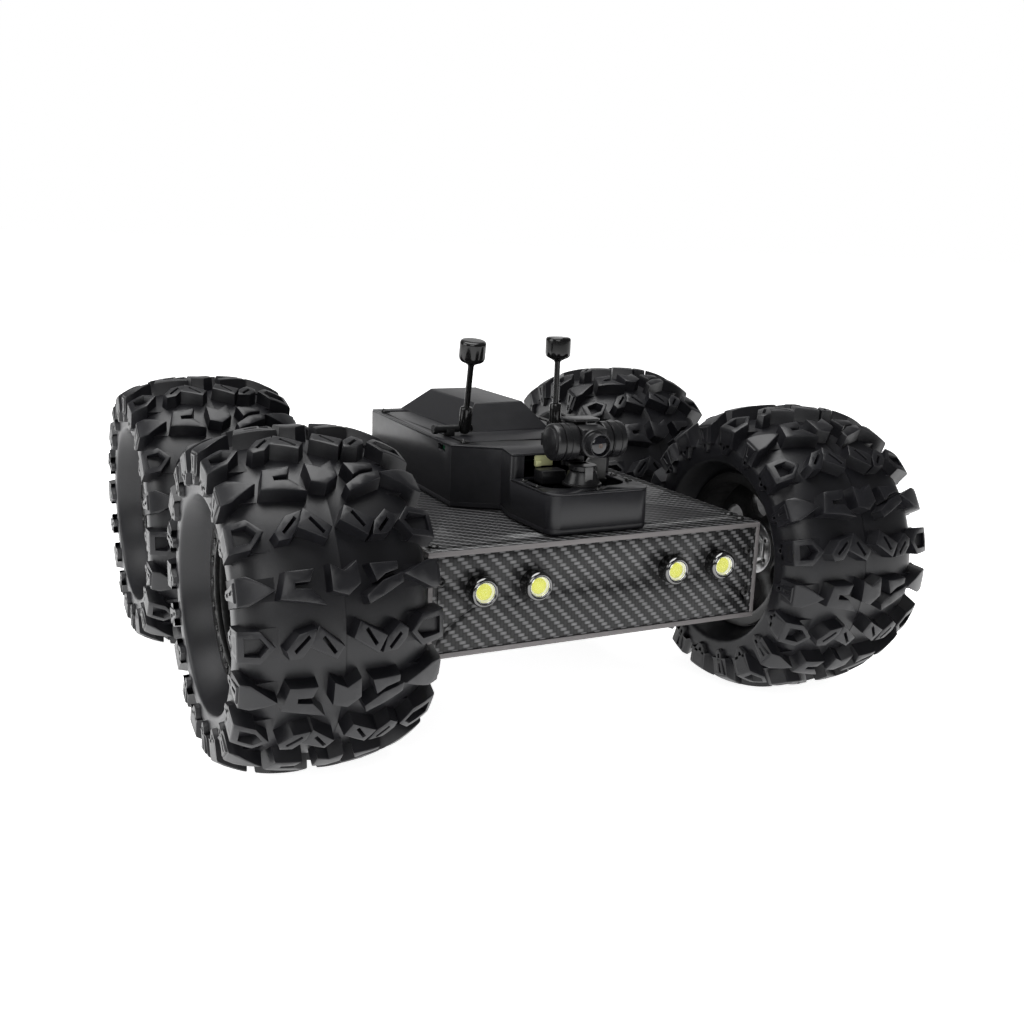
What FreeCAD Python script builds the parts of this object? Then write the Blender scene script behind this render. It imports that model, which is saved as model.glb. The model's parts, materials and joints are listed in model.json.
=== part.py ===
import FreeCAD, Part
import math
import os
import re

import Sketcher
from FreeCAD import Placement, Rotation, Vector

# Four wheel robot chassis. +Z is up, the front faces -Y, and the origin is on the floor
# under the middle of the wheelbase. Every size is in millimetres.
DIMENSIONS = {
    # wheels
    "track": 354.0,
    "wheelbase": 232.4,
    "axle_height": 100.0,
    "tyre_radius": 100.0,
    "tyre_width": 113.0,
    "crown_drop": 12.9,
    "carcass_radius": 90.5,
    "opening_radius": 63.0,
    "opening_setback": 3.0,
    "bead_radius": 49.5,
    "bead_seat": 34.0,
    "lug_angle": 9.0,
    "lug_count": 10,
    "rim_flange_radius": 53.8,
    "rim_wall": 2.5,
    "rim_gap": 0.3,
    "ring_inner_radius": 42.5,
    "ring_bolt_circle": 45.5,
    "ring_bolt_count": 20,
    "ring_bolt_radius": 1.2,
    "disc_inboard": -17.0,
    "disc_thickness": 5.0,
    "disc_window_radius": 9.5,
    "disc_window_circle": 31.0,
    "disc_window_count": 6,
    "shaft_radius": 4.0,
    "shaft_bore": 4.05,
    "hub_length": 38.0,
    "hub_hex_radius": 9.8,
    "hub_flange_radius": 19.0,
    "hub_flange_thickness": 3.0,
    "hub_bolt_circle": 14.0,
    "hub_bolt_count": 6,
    "wheel_nut_radius": 7.5,
    "wheel_nut_height": 6.5,
    # box of plates
    "box_width": 233.0,
    "box_length": 342.0,
    "box_bottom": 70.0,
    "box_top": 134.0,
    "plate": 3.2,
    "wall": 3.0,
    "panel_recess": 0.8,
    "shaft_window": 9.0,
    "post_width": 10.0,
    "post_length": 26.0,
    "deck_screw_x": 108.5,
    "deck_screw_front": 160.0,
    "deck_screw_back": 148.0,
    "side_screw_y": 154.0,
    "screw_pitch_z": 28.0,
    # fasteners
    "screw_radius": 1.5,
    "screw_clearance": 1.6,
    "screw_length": 10.0,
    "thread_bore": 1.55,
    "head_radius": 2.85,
    "head_top_radius": 1.9,
    "head_height": 1.65,
    "socket_radius": 1.15,
    "socket_depth": 1.0,
    "flat_head_radius": 3.0,
    "flat_head_depth": 1.4,
    # lamps
    "lamp_outer_x": 84.0,
    "lamp_inner_x": 48.5,
    "lamp_height": 109.5,
    "lamp_bezel_radius": 9.0,
    "lamp_stand_out": 9.4,
    "lamp_thread_radius": 7.9,
    "lamp_hole_radius": 8.0,
    "lamp_depth": 25.0,
    "lamp_mouth_radius": 7.4,
    "lamp_mouth_depth": 4.0,
    "lamp_nut_radius": 11.0,
    "lamp_nut_height": 4.0,
    # drive and power inside the box
    "gearbox_radius": 18.5,
    "gearbox_length": 26.0,
    "boss_radius": 6.0,
    "boss_length": 5.5,
    "motor_radius": 17.5,
    "motor_length": 50.0,
    "bracket_thickness": 3.0,
    "bracket_width": 36.0,
    "bracket_foot": 21.5,
    "battery_width": 62.0,
    "battery_length": 140.0,
    "battery_height": 38.0,
    "board_thickness": 1.6,
    "driver_width": 60.0,
    "driver_length": 70.0,
    "driver_y": 82.0,
    "driver_leg_x": 25.0,
    "driver_leg_inset": 5.0,
    "sink_width": 36.0,
    "sink_length": 40.0,
    "sink_base": 3.0,
    "fin_thickness": 2.0,
    "fin_pitch": 6.0,
    "fin_height": 10.0,
    "terminal_width": 8.0,
    "terminal_length": 56.0,
    "terminal_height": 9.0,
    "main_width": 90.0,
    "main_length": 130.0,
    "main_front_y": -62.0,
    "main_leg_x": 40.0,
    "main_leg_inset": 6.0,
    "main_leg_height": 21.0,
    "chip_width": 30.0,
    "chip_height": 6.0,
    "port_reach": 55.5,
    "port_depth": 14.0,
    "standoff_height": 6.0,
    "standoff_radius": 2.5,
    # power switch in the rear panel
    "switch_radius": 8.0,
    "switch_bezel_radius": 9.5,
    "switch_depth": 22.0,
    "switch_stand_out": 2.5,
    "switch_well": 6.0,
    "button_length": 7.0,
    "button_radius": 5.6,
    "button_gap": 0.1,
    "button_travel": 2.0,
    # control module on the deck
    "module_gap": 1.5,
    "module_base": 3.0,
    "module_top": 176.0,
    "module_lid": 1.5,
    "nose_top": 160.5,
    "module_wall": 3.0,
    "rear_half_width": 54.5,
    "rear_y": 88.0,
    "shoulder_half_width": 59.5,
    "shoulder_y": -72.0,
    "waist_half_width": 32.0,
    "waist_y": -90.0,
    "step_half_width": 37.0,
    "step_y": -114.0,
    "nose_half_width": 35.5,
    "nose_y": -164.0,
    "nose_corner": 9.0,
    "step_corner": 4.0,
    "window_half_width": 28.0,
    "port_y": -61.0,
    "port_width": 12.0,
    "port_z": 169.5,
    "port_height": 4.0,
    "cover_x": 2.2,
    "cover_base_half_width": 33.2,
    "cover_top_half_width": 18.6,
    "cover_front_y": -30.0,
    "cover_rear_y": 88.0,
    "cover_top_front_y": -14.0,
    "cover_top_rear_y": 63.5,
    "cover_height": 18.0,
    "cover_wall": 1.5,
    "opening_half_width": 29.0,
    "opening_front_y": -149.5,
    "opening_corner": 13.0,
    # gimbal camera
    "pan_x": -2.0,
    "pan_y": -142.0,
    "tilt_z": 188.0,
    "flange_radius": 12.3,
    "flange_thickness": 1.6,
    "pan_motor_radius": 8.7,
    "pan_split_z": 169.5,
    "yoke_hub_height": 3.5,
    "drum_radius": 11.4,
    "drum_left_out": -24.4,
    "drum_left_split": -18.3,
    "camera_left": -8.0,
    "camera_right": 10.1,
    "drum_right_split": 15.5,
    "drum_right_out": 26.1,
    "drum_gap": 0.6,
    "tilt_pin_radius": 2.5,
    "tilt_pin_length": 4.0,
    "camera_core_radius": 9.6,
    "barrel_radius": 7.2,
    "barrel_reach": 20.5,
    "collar_radius": 8.8,
    "collar_reach": 13.0,
    "lens_radius": 5.8,
    "lens_depth": 2.0,
    "bar_width": 12.0,
    "bar_thickness": 2.0,
    "bar_front": 7.0,
    "bar_rear": 26.0,
    "bar_leg": 3.0,
    "damper_left": -20.0,
    "damper_width": 17.0,
    "damper_front": 14.5,
    "damper_length": 12.0,
    "damper_height": 8.5,
    "guard_left": 11.5,
    "guard_width": 14.0,
    "guard_front": 13.5,
    "guard_thickness": 2.5,
    "guard_drop": 13.5,
    "tie_left": 5.5,
    "tie_front": 12.0,
    "tie_length": 4.0,
    "pan_pin_height": 3.2,
    "pan_gap": 0.2,
    "link_length": 13.6,
    "link_thickness": 2.5,
    "back_width": 16.0,
    "back_front": 11.6,
    "back_thickness": 2.0,
    "back_rise": 1.9,
    "strip_height": 8.0,
    "strip_inset": 1.5,
    "roof_left": -10.0,
    "roof_width": 21.4,
    "roof_front": -2.0,
    "roof_length": 15.6,
    "roof_gap": 0.3,
    "roof_thickness": 1.6,
    "foot_width": 4.0,
    "foot_thickness": 0.6,
    # antennas
    "antenna_x": 35.0,
    "antenna_y": -38.5,
    "antenna_z": 180.6,
    "antenna_rest_tilt": 10.0,
    "sleeve_radius": 4.3,
    "sleeve_length": 15.0,
    "stem_radius": 2.0,
    "stem_top": 44.0,
    "antenna_head_radius": 8.8,
    "antenna_head_base": 46.8,
    "antenna_head_top": 61.1,
    "arm_radius": 2.6,
    "swivel_pin_radius": 1.5,
    "swivel_bore": 1.55,
    "swivel_gap": 0.3,
    "cap_length": 0.8,
    "knob_length": 3.0,
    "knob_inset": 4.0,
    "saddle_gap": 4.0,
    "saddle_size": 6.0,
}

DOC = FreeCAD.newDocument("robot_chassis")
SHEET = DOC.addObject("Spreadsheet::Sheet", "Dims")
WHEELS = {"front_left": (1, -1), "front_right": (-1, -1), "rear_left": (1, 1), "rear_right": (-1, 1)}
LUG_PHASE = {"front_left": 4.5, "front_right": 15.3, "rear_left": 0.0, "rear_right": 18.0}
UP, DOWN = None, ((1, 0, 0), 180)
TO_LEFT, TO_RIGHT = ((0, 1, 0), 90), ((0, 1, 0), -90)
TO_FRONT, TO_REAR = ((1, 0, 0), 90), ((1, 0, 0), -90)
SUBPARTS = []


# ---------------------------------------------------------------- sheet and expressions
def fill_sheet():
    for row, (alias, size) in enumerate(DIMENSIONS.items(), start=1):
        SHEET.set(f"A{row}", alias)
        SHEET.set(f"B{row}", str(size))
        SHEET.setAlias(f"B{row}", alias)
    DOC.recompute()


def dims(expression):
    """The expression with each alias in it pointed at the sheet."""
    words = r"[a-z][a-z_0-9]*"
    return re.sub(words, lambda found: point_at_sheet(found.group()), str(expression))


def point_at_sheet(word):
    return f"Dims.{word}" if word in DIMENSIONS else word


def value(expression):
    return float(SHEET.evalExpression(dims(expression)))


def bind(item, property_name, expression):
    item.setExpression(property_name, dims(expression))


def place(item, spot=(0, 0, 0), turn=None):
    """Put item at spot, three expressions, turned by (axis, degrees)."""
    if turn:
        item.Placement = Placement(Vector(), Rotation(Vector(*turn[0]), turn[1]))
    for letter, expression in zip("xyz", spot):
        bind(item, f"Placement.Base.{letter}", expression)
    return item


def subpart(item, label):
    """Mark item as a sub-part; its label names its file."""
    item.Label = label
    SUBPARTS.append(item)
    return item


# ---------------------------------------------------------------- Part helpers
def block(name, size, corner):
    item = DOC.addObject("Part::Box", name)
    for side, expression in zip(("Length", "Width", "Height"), size):
        bind(item, side, expression)
    return place(item, corner)


def rod(name, radius, length, start=(0, 0, 0), turn=UP):
    """Cylinder that leaves start along +Z, or along the way turn points it."""
    item = DOC.addObject("Part::Cylinder", name)
    bind(item, "Radius", radius)
    bind(item, "Height", length)
    return place(item, start, turn)


def cone(name, base, top, height, start=(0, 0, 0), turn=UP):
    item = DOC.addObject("Part::Cone", name)
    bind(item, "Radius1", base)
    bind(item, "Radius2", top)
    bind(item, "Height", height)
    return place(item, start, turn)


def hexagon(name, radius, height, start=(0, 0, 0), turn=UP):
    item = DOC.addObject("Part::Prism", name)
    item.Polygon = 6
    bind(item, "Circumradius", radius)
    bind(item, "Height", height)
    return place(item, start, turn)


def fuse(name, pieces):
    item = DOC.addObject("Part::MultiFuse", name)
    item.Shapes = pieces
    return item


def cut(name, base, tools):
    item = DOC.addObject("Part::Cut", name)
    item.Base = base
    item.Tool = tools[0] if len(tools) == 1 else fuse(f"{name}_tools", tools)
    return item


def group(name, solids):
    """Separate solids of one kind that share a node."""
    item = DOC.addObject("Part::Compound", name)
    item.Links = solids
    return item


# ---------------------------------------------------------------- PartDesign helpers
def new_body(name):
    return DOC.addObject("PartDesign::Body", name)


def origin_feature(body, role):
    return next(item for item in body.Origin.OriginFeatures if item.Role == role)


def new_sketch(body, name, role, offset="0", turn=None):
    """Sketch on one of the body's origin planes, moved along its normal by offset."""
    sketch = body.newObject("Sketcher::SketchObject", name)
    sketch.AttachmentSupport = (origin_feature(body, role), [""])
    sketch.MapMode = "FlatFace"
    if turn:
        sketch.AttachmentOffset = Placement(Vector(), Rotation(Vector(*turn[0]), turn[1]))
    bind(sketch, "AttachmentOffset.Base.z", offset)
    return sketch


def hold_point(sketch, index, position, x, y):
    """Fix one point of a curve at (x, y), both bound to the sheet."""
    for kind, expression in (("DistanceX", x), ("DistanceY", y)):
        held = Sketcher.Constraint(kind, -1, 1, index, position, value(expression))
        number = sketch.addConstraint(held)
        bind(sketch, f"Constraints[{number}]", expression)


def outline(sketch, corners):
    """Closed outline of straight lines through corners, pairs of expressions."""
    first = sketch.GeometryCount
    points = [Vector(value(x), value(y), 0) for x, y in corners]
    following = points[1:] + points[:1]
    sketch.addGeometry([Part.LineSegment(a, b) for a, b in zip(points, following)], False)
    count = len(corners)
    for step in range(count):
        after = first + (step + 1) % count
        sketch.addConstraint(Sketcher.Constraint("Coincident", first + step, 2, after, 1))
    for step, (x, y) in enumerate(corners):
        hold_point(sketch, first + step, 1, x, y)


def circle(sketch, x, y, radius):
    centre = Vector(value(x), value(y), 0)
    index = sketch.addGeometry(Part.Circle(centre, Vector(0, 0, 1), value(radius)), False)
    hold_point(sketch, index, 3, x, y)
    number = sketch.addConstraint(Sketcher.Constraint("Radius", index, value(radius)))
    bind(sketch, f"Constraints[{number}]", radius)


def rectangle(sketch, low_x, low_y, high_x, high_y):
    outline(sketch, [(low_x, low_y), (high_x, low_y), (high_x, high_y), (low_x, high_y)])


def pad(body, sketch, length):
    feature = body.newObject("PartDesign::Pad", f"{sketch.Name}_pad")
    feature.Profile = sketch
    bind(feature, "Length", length)
    DOC.recompute()
    return feature


def pocket(body, sketch, length, backwards=False):
    """Cut the sketch out of the body, and check that it takes material away."""
    before = body.Shape.Volume
    feature = body.newObject("PartDesign::Pocket", f"{sketch.Name}_pocket")
    feature.Profile = sketch
    feature.Reversed = backwards
    bind(feature, "Length", length)
    DOC.recompute()
    if body.Shape.Volume >= before - 1e-6:
        raise ValueError(f"{sketch.Name} cuts nothing")
    return feature


def revolve(body, sketch, axis="H_Axis", degrees="360"):
    """Revolve the sketch about its own axis, half the angle each way."""
    feature = body.newObject("PartDesign::Revolution", f"{sketch.Name}_turned")
    feature.Profile = sketch
    feature.ReferenceAxis = (sketch, [axis])
    bind(feature, "Angle", degrees)
    feature.Midplane = True
    DOC.recompute()
    return feature


def repeat_round(body, feature, role, count):
    pattern = body.newObject("PartDesign::PolarPattern", f"{feature.Name}_round")
    pattern.Originals = [feature]
    pattern.Axis = (origin_feature(body, role), [""])
    pattern.Angle = 360
    bind(pattern, "Occurrences", count)
    body.Tip = pattern
    DOC.recompute()
    return pattern


def upright_edges(shape, spots, lowest):
    """Names of the upright edges at one of the (x, y) spots that start at or above lowest."""
    names = []
    for number, edge in enumerate(shape.Edges, start=1):
        ends = [vertex.Point for vertex in edge.Vertexes]
        if len(ends) == 2 and (ends[0] - ends[1]).cross(Vector(0, 0, 1)).Length < 1e-6:
            at_spot = any(math.hypot(ends[0].x - x, ends[0].y - y) < 0.01 for x, y in spots)
            if at_spot and min(ends[0].z, ends[1].z) > lowest - 0.02:
                names.append(f"Edge{number}")
    return names


def round_edges(body, feature, spots, radius, lowest=0):
    fillet = body.newObject("PartDesign::Fillet", f"{feature.Name}_round")
    fillet.Base = (feature, upright_edges(feature.Shape, spots, lowest))
    bind(fillet, "Radius", radius)
    DOC.recompute()
    return fillet


# ---------------------------------------------------------------- plates
def corner_spots(x, y):
    return [(f"{a} * ({x})", f"{b} * ({y})") for a in (-1, 1) for b in (-1, 1)]


def post_screw_spots():
    front = corner_spots("deck_screw_x", "deck_screw_front")
    return front + corner_spots("deck_screw_x", "deck_screw_back")


def bracket_screw_spots():
    x = "box_width / 2 - wall - bracket_foot / 2"
    spots = corner_spots(x, "wheelbase / 2 + bracket_width / 3")
    return spots + corner_spots(x, "wheelbase / 2 - bracket_width / 3")


def make_deck():
    body = new_body("deck")
    sketch = new_sketch(body, "deck_outline", "XY_Plane", "box_top - plate")
    rectangle(sketch, "-box_width / 2", "-box_length / 2", "box_width / 2", "box_length / 2")
    for x, y in post_screw_spots():
        circle(sketch, x, y, "screw_clearance")
    circle(sketch, "0", "20", "12")
    pad(body, sketch, "plate")
    subpart(body, "deck_plate")


def make_bottom_plate():
    """The bottom plate's holes are countersunk, so it has a flat underside."""
    sheet = block("bottom_sheet", ("box_width", "box_length", "plate"),
                  ("-box_width / 2", "-box_length / 2", "box_bottom"))
    tools = []
    for x, y in post_screw_spots() + bracket_screw_spots():
        tools.append(rod("bottom_hole", "screw_clearance", "plate", (x, y, "box_bottom")))
        tools.append(cone("bottom_sink", "flat_head_radius + 0.1", "screw_clearance",
                          "flat_head_depth + 0.1", (x, y, "box_bottom")))
    subpart(cut("bottom", sheet, tools), "bottom_plate")


def make_side_plate(label, side):
    body = new_body(label)
    offset = "box_width / 2 - wall" if side > 0 else "-box_width / 2"
    sketch = new_sketch(body, f"{label}_outline", "YZ_Plane", offset)
    rectangle(sketch, "-box_length / 2", "box_bottom + plate", "box_length / 2", "box_top - plate")
    for end in (-1, 1):
        circle(sketch, f"{end} * wheelbase / 2", "axle_height", "shaft_window")
        for level in (-1, 1):
            circle(sketch, f"{end} * side_screw_y", screw_level(level), "screw_clearance")
    pad(body, sketch, "wall")
    subpart(body, label)


def screw_level(level):
    return f"(box_bottom + box_top) / 2 + {level} * screw_pitch_z / 2"


def make_end_panel(label, end, holes):
    """Panel between the side plates; holes are (x, z, radius)."""
    body = new_body(label)
    face = "box_length / 2 - panel_recess"
    offset = f"{face} - wall" if end < 0 else f"-({face})"
    sketch = new_sketch(body, f"{label}_outline", "XZ_Plane", offset)
    rectangle(sketch, "wall - box_width / 2", "box_bottom + plate", "box_width / 2 - wall", "box_top - plate")
    for side in (-1, 1):
        for level in (-1, 1):
            circle(sketch, f"{side} * deck_screw_x", screw_level(level), "screw_clearance")
    for x, z, radius in holes:
        circle(sketch, x, z, radius)
    pad(body, sketch, "wall")
    subpart(body, label)


def make_corner_posts():
    posts = []
    inner_y = "box_length / 2 - panel_recess - wall"
    for a in (-1, 1):
        for b in (-1, 1):
            low_x = "box_width / 2 - wall - post_width" if a > 0 else "wall - box_width / 2"
            low_y = f"{inner_y} - post_length" if b > 0 else f"-({inner_y})"
            height = "box_top - box_bottom - 2 * plate"
            post = block("post", ("post_width", "post_length", height), (low_x, low_y, "box_bottom + plate"))
            tools = []
            for y in ("deck_screw_front", "deck_screw_back"):
                for z in ("box_bottom + plate", "box_top - plate - screw_length"):
                    spot = (f"{a} * deck_screw_x", f"{b} * {y}", z)
                    tools.append(rod("post_bore", "thread_bore", "screw_length", spot))
            for level in (-1, 1):
                end = (f"{a} * deck_screw_x", f"{b} * ({inner_y})", screw_level(level))
                inward = TO_FRONT if b > 0 else TO_REAR
                tools.append(rod("post_bore", "thread_bore", "screw_length", end, inward))
                side = (f"{a} * (box_width / 2 - wall)", f"{b} * side_screw_y", screw_level(level))
                inward = TO_RIGHT if a > 0 else TO_LEFT
                tools.append(rod("post_bore", "thread_bore", "screw_length", side, inward))
            posts.append(cut("corner_post", post, tools))
    subpart(group("posts", posts), "corner_posts")


# ---------------------------------------------------------------- fasteners
def button_screw(seat, turn, shank="screw_length", scale="1"):
    """Button head screw with a hexagonal socket; its head stands on seat."""
    head = cone("head", f"head_radius * {scale}", f"head_top_radius * {scale}", f"head_height * {scale}")
    body = rod("shank", f"screw_radius * {scale}", shank, (0, 0, f"-({shank})"))
    socket = hexagon("socket", f"socket_radius * {scale}", f"head_height * {scale}",
                     (0, 0, f"(head_height - socket_depth) * {scale}"))
    return place(cut("button_screw", fuse("blank", [head, body]), [socket]), seat, turn)


def flat_screw(seat, turn, shank="screw_length - 1"):
    """Countersunk screw whose head is flush with seat."""
    head = cone("head", "screw_radius", "flat_head_radius", "flat_head_depth", (0, 0, "-flat_head_depth"))
    body = rod("shank", "screw_radius", shank, (0, 0, f"-({shank})"))
    socket = hexagon("socket", "socket_radius", "socket_depth", (0, 0, "-socket_depth"))
    return place(cut("flat_screw", fuse("blank", [head, body]), [socket]), seat, turn)


def make_chassis_screws():
    screws = []
    for x, y in post_screw_spots():
        screws.append(button_screw((x, y, "box_top"), UP))
        screws.append(flat_screw((x, y, "box_bottom"), DOWN))
    for x, y in bracket_screw_spots():
        screws.append(flat_screw((x, y, "box_bottom"), DOWN, "plate + bracket_thickness"))
    face = "box_length / 2 - panel_recess"
    for a in (-1, 1):
        for b in (-1, 1):
            for level in (-1, 1):
                z = screw_level(level)
                end = (f"{a} * deck_screw_x", f"{b} * ({face})", z)
                screws.append(button_screw(end, TO_REAR if b > 0 else TO_FRONT))
                side = (f"{a} * box_width / 2", f"{b} * side_screw_y", z)
                screws.append(button_screw(side, TO_LEFT if a > 0 else TO_RIGHT))
    subpart(group("chassis_fasteners", screws), "chassis_screws")


# ---------------------------------------------------------------- lamps
def lamp_spots():
    return [(x, "lamp_height") for x in ("-lamp_outer_x", "-lamp_inner_x", "lamp_inner_x", "lamp_outer_x")]


def make_lamps():
    face = "box_length / 2 - panel_recess"
    front = f"-({face} + lamp_stand_out)"
    bodies, lenses, emitters, nuts = [], [], [], []
    for x, z in lamp_spots():
        bezel = rod("bezel", "lamp_bezel_radius", "lamp_stand_out", (x, front, z), TO_REAR)
        barrel = rod("barrel", "lamp_thread_radius", "lamp_depth", (x, f"-({face})", z), TO_REAR)
        mouth = rod("mouth", "lamp_mouth_radius", "lamp_mouth_depth", (x, front, z), TO_REAR)
        bodies.append(cut("lamp_body", fuse("lamp_blank", [bezel, barrel]), [mouth]))
        lens_y = f"{front} + 0.5"
        lenses.append(rod("lens", "lamp_mouth_radius - 0.1", "1.6", (x, lens_y, z), TO_REAR))
        emitter_y = f"{front} + 2.3"
        emitters.append(rod("emitter", "lamp_mouth_radius - 0.1", "1.6", (x, emitter_y, z), TO_REAR))
        seat = (x, f"wall - ({face})", z)
        nut = hexagon("nut", "lamp_nut_radius", "lamp_nut_height", seat, TO_REAR)
        bore = rod("nut_bore", "lamp_hole_radius", "lamp_nut_height", seat, TO_REAR)
        nuts.append(cut("lamp_nut", nut, [bore]))
    subpart(group("lamp_barrels", bodies), "lamp_bodies")
    subpart(group("lamp_glasses", lenses), "lamp_lenses")
    subpart(group("lamp_chips", emitters), "lamp_emitters")
    subpart(group("lamp_ring_nuts", nuts), "lamp_nuts")


# ---------------------------------------------------------------- drive
def on_axle(item, wheel, x="0"):
    """Turn an item drawn along +X outboard, and put it on a wheel's axle."""
    side, end = WHEELS[wheel]
    turn = None if side > 0 else ((0, 0, 1), 180)
    return place(item, (f"{side} * ({x})", f"{end} * wheelbase / 2", "axle_height"), turn)


def make_gear_motor(wheel):
    face = "box_width / 2 - wall - bracket_thickness"
    gearbox = rod("gearbox", "gearbox_radius", "gearbox_length", (f"{face} - gearbox_length", 0, 0), TO_LEFT)
    boss = rod("boss", "boss_radius", "boss_length", (face, 0, 0), TO_LEFT)
    can_x = f"{face} - gearbox_length - motor_length"
    can = rod("can", "motor_radius", "motor_length", (can_x, 0, 0), TO_LEFT)
    tags = [block("tag", (4, 3, 6), (f"{can_x} - 4", -1.5, z)) for z in (-11, 5)]
    bore = rod("shaft_socket", "shaft_bore", "20", (f"{face} + boss_length - 20", 0, 0), TO_LEFT)
    motor = cut("motor", fuse("motor_blank", [gearbox, boss, can] + tags), [bore])
    subpart(on_axle(motor, wheel), f"gear_motor_{wheel}")


def make_motor_brackets():
    brackets = []
    for wheel in WHEELS:
        inner = "box_width / 2 - wall"
        foot_z = "box_bottom + plate - axle_height"
        plate = block("bracket_plate", ("bracket_thickness", "bracket_width", f"20 - ({foot_z})"),
                      (f"{inner} - bracket_thickness", "-bracket_width / 2", foot_z))
        foot = block("bracket_foot", ("bracket_foot", "bracket_width", "bracket_thickness"),
                     (f"{inner} - bracket_foot", "-bracket_width / 2", foot_z))
        tools = [rod("boss_hole", "boss_radius + 0.1", "bracket_thickness",
                     (f"{inner} - bracket_thickness", 0, 0), TO_LEFT)]
        for side in (-1, 1):
            spot = (f"{inner} - bracket_foot / 2", f"{side} * bracket_width / 3", foot_z)
            tools.append(rod("foot_hole", "thread_bore", "bracket_thickness", spot))
        brackets.append(on_axle(cut("bracket", fuse("bracket_blank", [plate, foot]), tools), wheel))
    subpart(group("brackets", brackets), "motor_brackets")


# ---------------------------------------------------------------- wheels, drawn about their own centre
def make_output_shaft(wheel):
    start = "box_width / 2 - wall - bracket_thickness + boss_length - 19.5 - track / 2"
    shaft = rod("shaft", "shaft_radius", f"-2 - ({start})", (start, 0, 0), TO_LEFT)
    holder = fuse("shaft_holder", [shaft, rod("shaft_tip", "shaft_radius - 0.6", "1", (-2, 0, 0), TO_LEFT)])
    subpart(on_axle(holder, wheel, "track / 2"), f"output_shaft_{wheel}")


def bolt_round(name, radius, circle_radius, count, start, length):
    """Cylinders along X, spread round a circle."""
    tools = []
    for step in range(int(value(count))):
        angle = f"{step} * 360 / {count}"
        spot = (start, f"({circle_radius}) * sin({angle})", f"({circle_radius}) * cos({angle})")
        tools.append(rod(name, radius, length, spot, TO_LEFT))
    return tools


def make_drive_hub(wheel):
    start = "disc_inboard - hub_length"
    sleeve = hexagon("hub_sleeve", "hub_hex_radius", "hub_length", (start, 0, 0), TO_LEFT)
    flange = rod("hub_flange", "hub_flange_radius", "hub_flange_thickness",
                 ("disc_inboard - hub_flange_thickness", 0, 0), TO_LEFT)
    bore = rod("hub_bore", "shaft_bore", "hub_length", (start, 0, 0), TO_LEFT)
    holes = bolt_round("hub_hole", "thread_bore", "hub_bolt_circle", "hub_bolt_count",
                       "disc_inboard - hub_flange_thickness", "hub_flange_thickness")
    hub = cut("hub", fuse("hub_blank", [sleeve, flange]), [bore] + holes)
    subpart(on_axle(hub, wheel, "track / 2"), f"drive_hub_{wheel}")


def make_rim(wheel):
    body = new_body(f"rim_{wheel}_body")
    section = new_sketch(body, f"rim_{wheel}_section", "XZ_Plane")
    barrel = "bead_radius - rim_gap"
    inside = f"{barrel} - rim_wall"
    outboard, inboard = "disc_inboard + disc_thickness", "-bead_seat - rim_gap"
    outline(section, [
        ("bead_seat", "ring_inner_radius"),
        ("bead_seat", barrel),
        (inboard, barrel),
        (inboard, "rim_flange_radius"),
        (f"{inboard} - wall", "rim_flange_radius"),
        (f"{inboard} - wall", inside),
        ("disc_inboard", inside),
        ("disc_inboard", "shaft_bore"),
        (outboard, "shaft_bore"),
        (outboard, inside),
        ("bead_seat - 4", inside),
        ("bead_seat - 4", "ring_inner_radius"),
    ])
    revolve(body, section)
    for label, radius, start, depth in (
            ("disc_window", "disc_window_radius", outboard, "disc_thickness"),
            ("hub_bolt", "screw_clearance", outboard, "disc_thickness"),
            ("ring_bolt", "ring_bolt_radius + 0.05", "bead_seat", "4")):
        sketch = new_sketch(body, f"{label}_hole_{wheel}", "YZ_Plane", start)
        circle(sketch, "0", f"{label}_circle", radius)
        repeat_round(body, pocket(body, sketch, depth), "X_Axis", f"{label}_count")
    subpart(on_axle(body, wheel, "track / 2"), f"rim_{wheel}")


def make_bead_ring(wheel):
    start = "bead_seat + rim_gap"
    disc = rod("ring_disc", "rim_flange_radius", "wall", (start, 0, 0), TO_LEFT)
    middle = rod("ring_middle", "ring_inner_radius", "wall", (start, 0, 0), TO_LEFT)
    holes = bolt_round("ring_hole", "ring_bolt_radius + 0.05", "ring_bolt_circle", "ring_bolt_count",
                       start, "wall")
    ring = cut("ring", disc, [middle] + holes)
    subpart(on_axle(ring, wheel, "track / 2"), f"bead_ring_{wheel}")


def crown(x):
    """Radius of the tread's top at distance x from the tyre's middle."""
    return f"tyre_radius - crown_drop * abs(2 * ({x}) / tyre_width) ^ 3"


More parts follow.
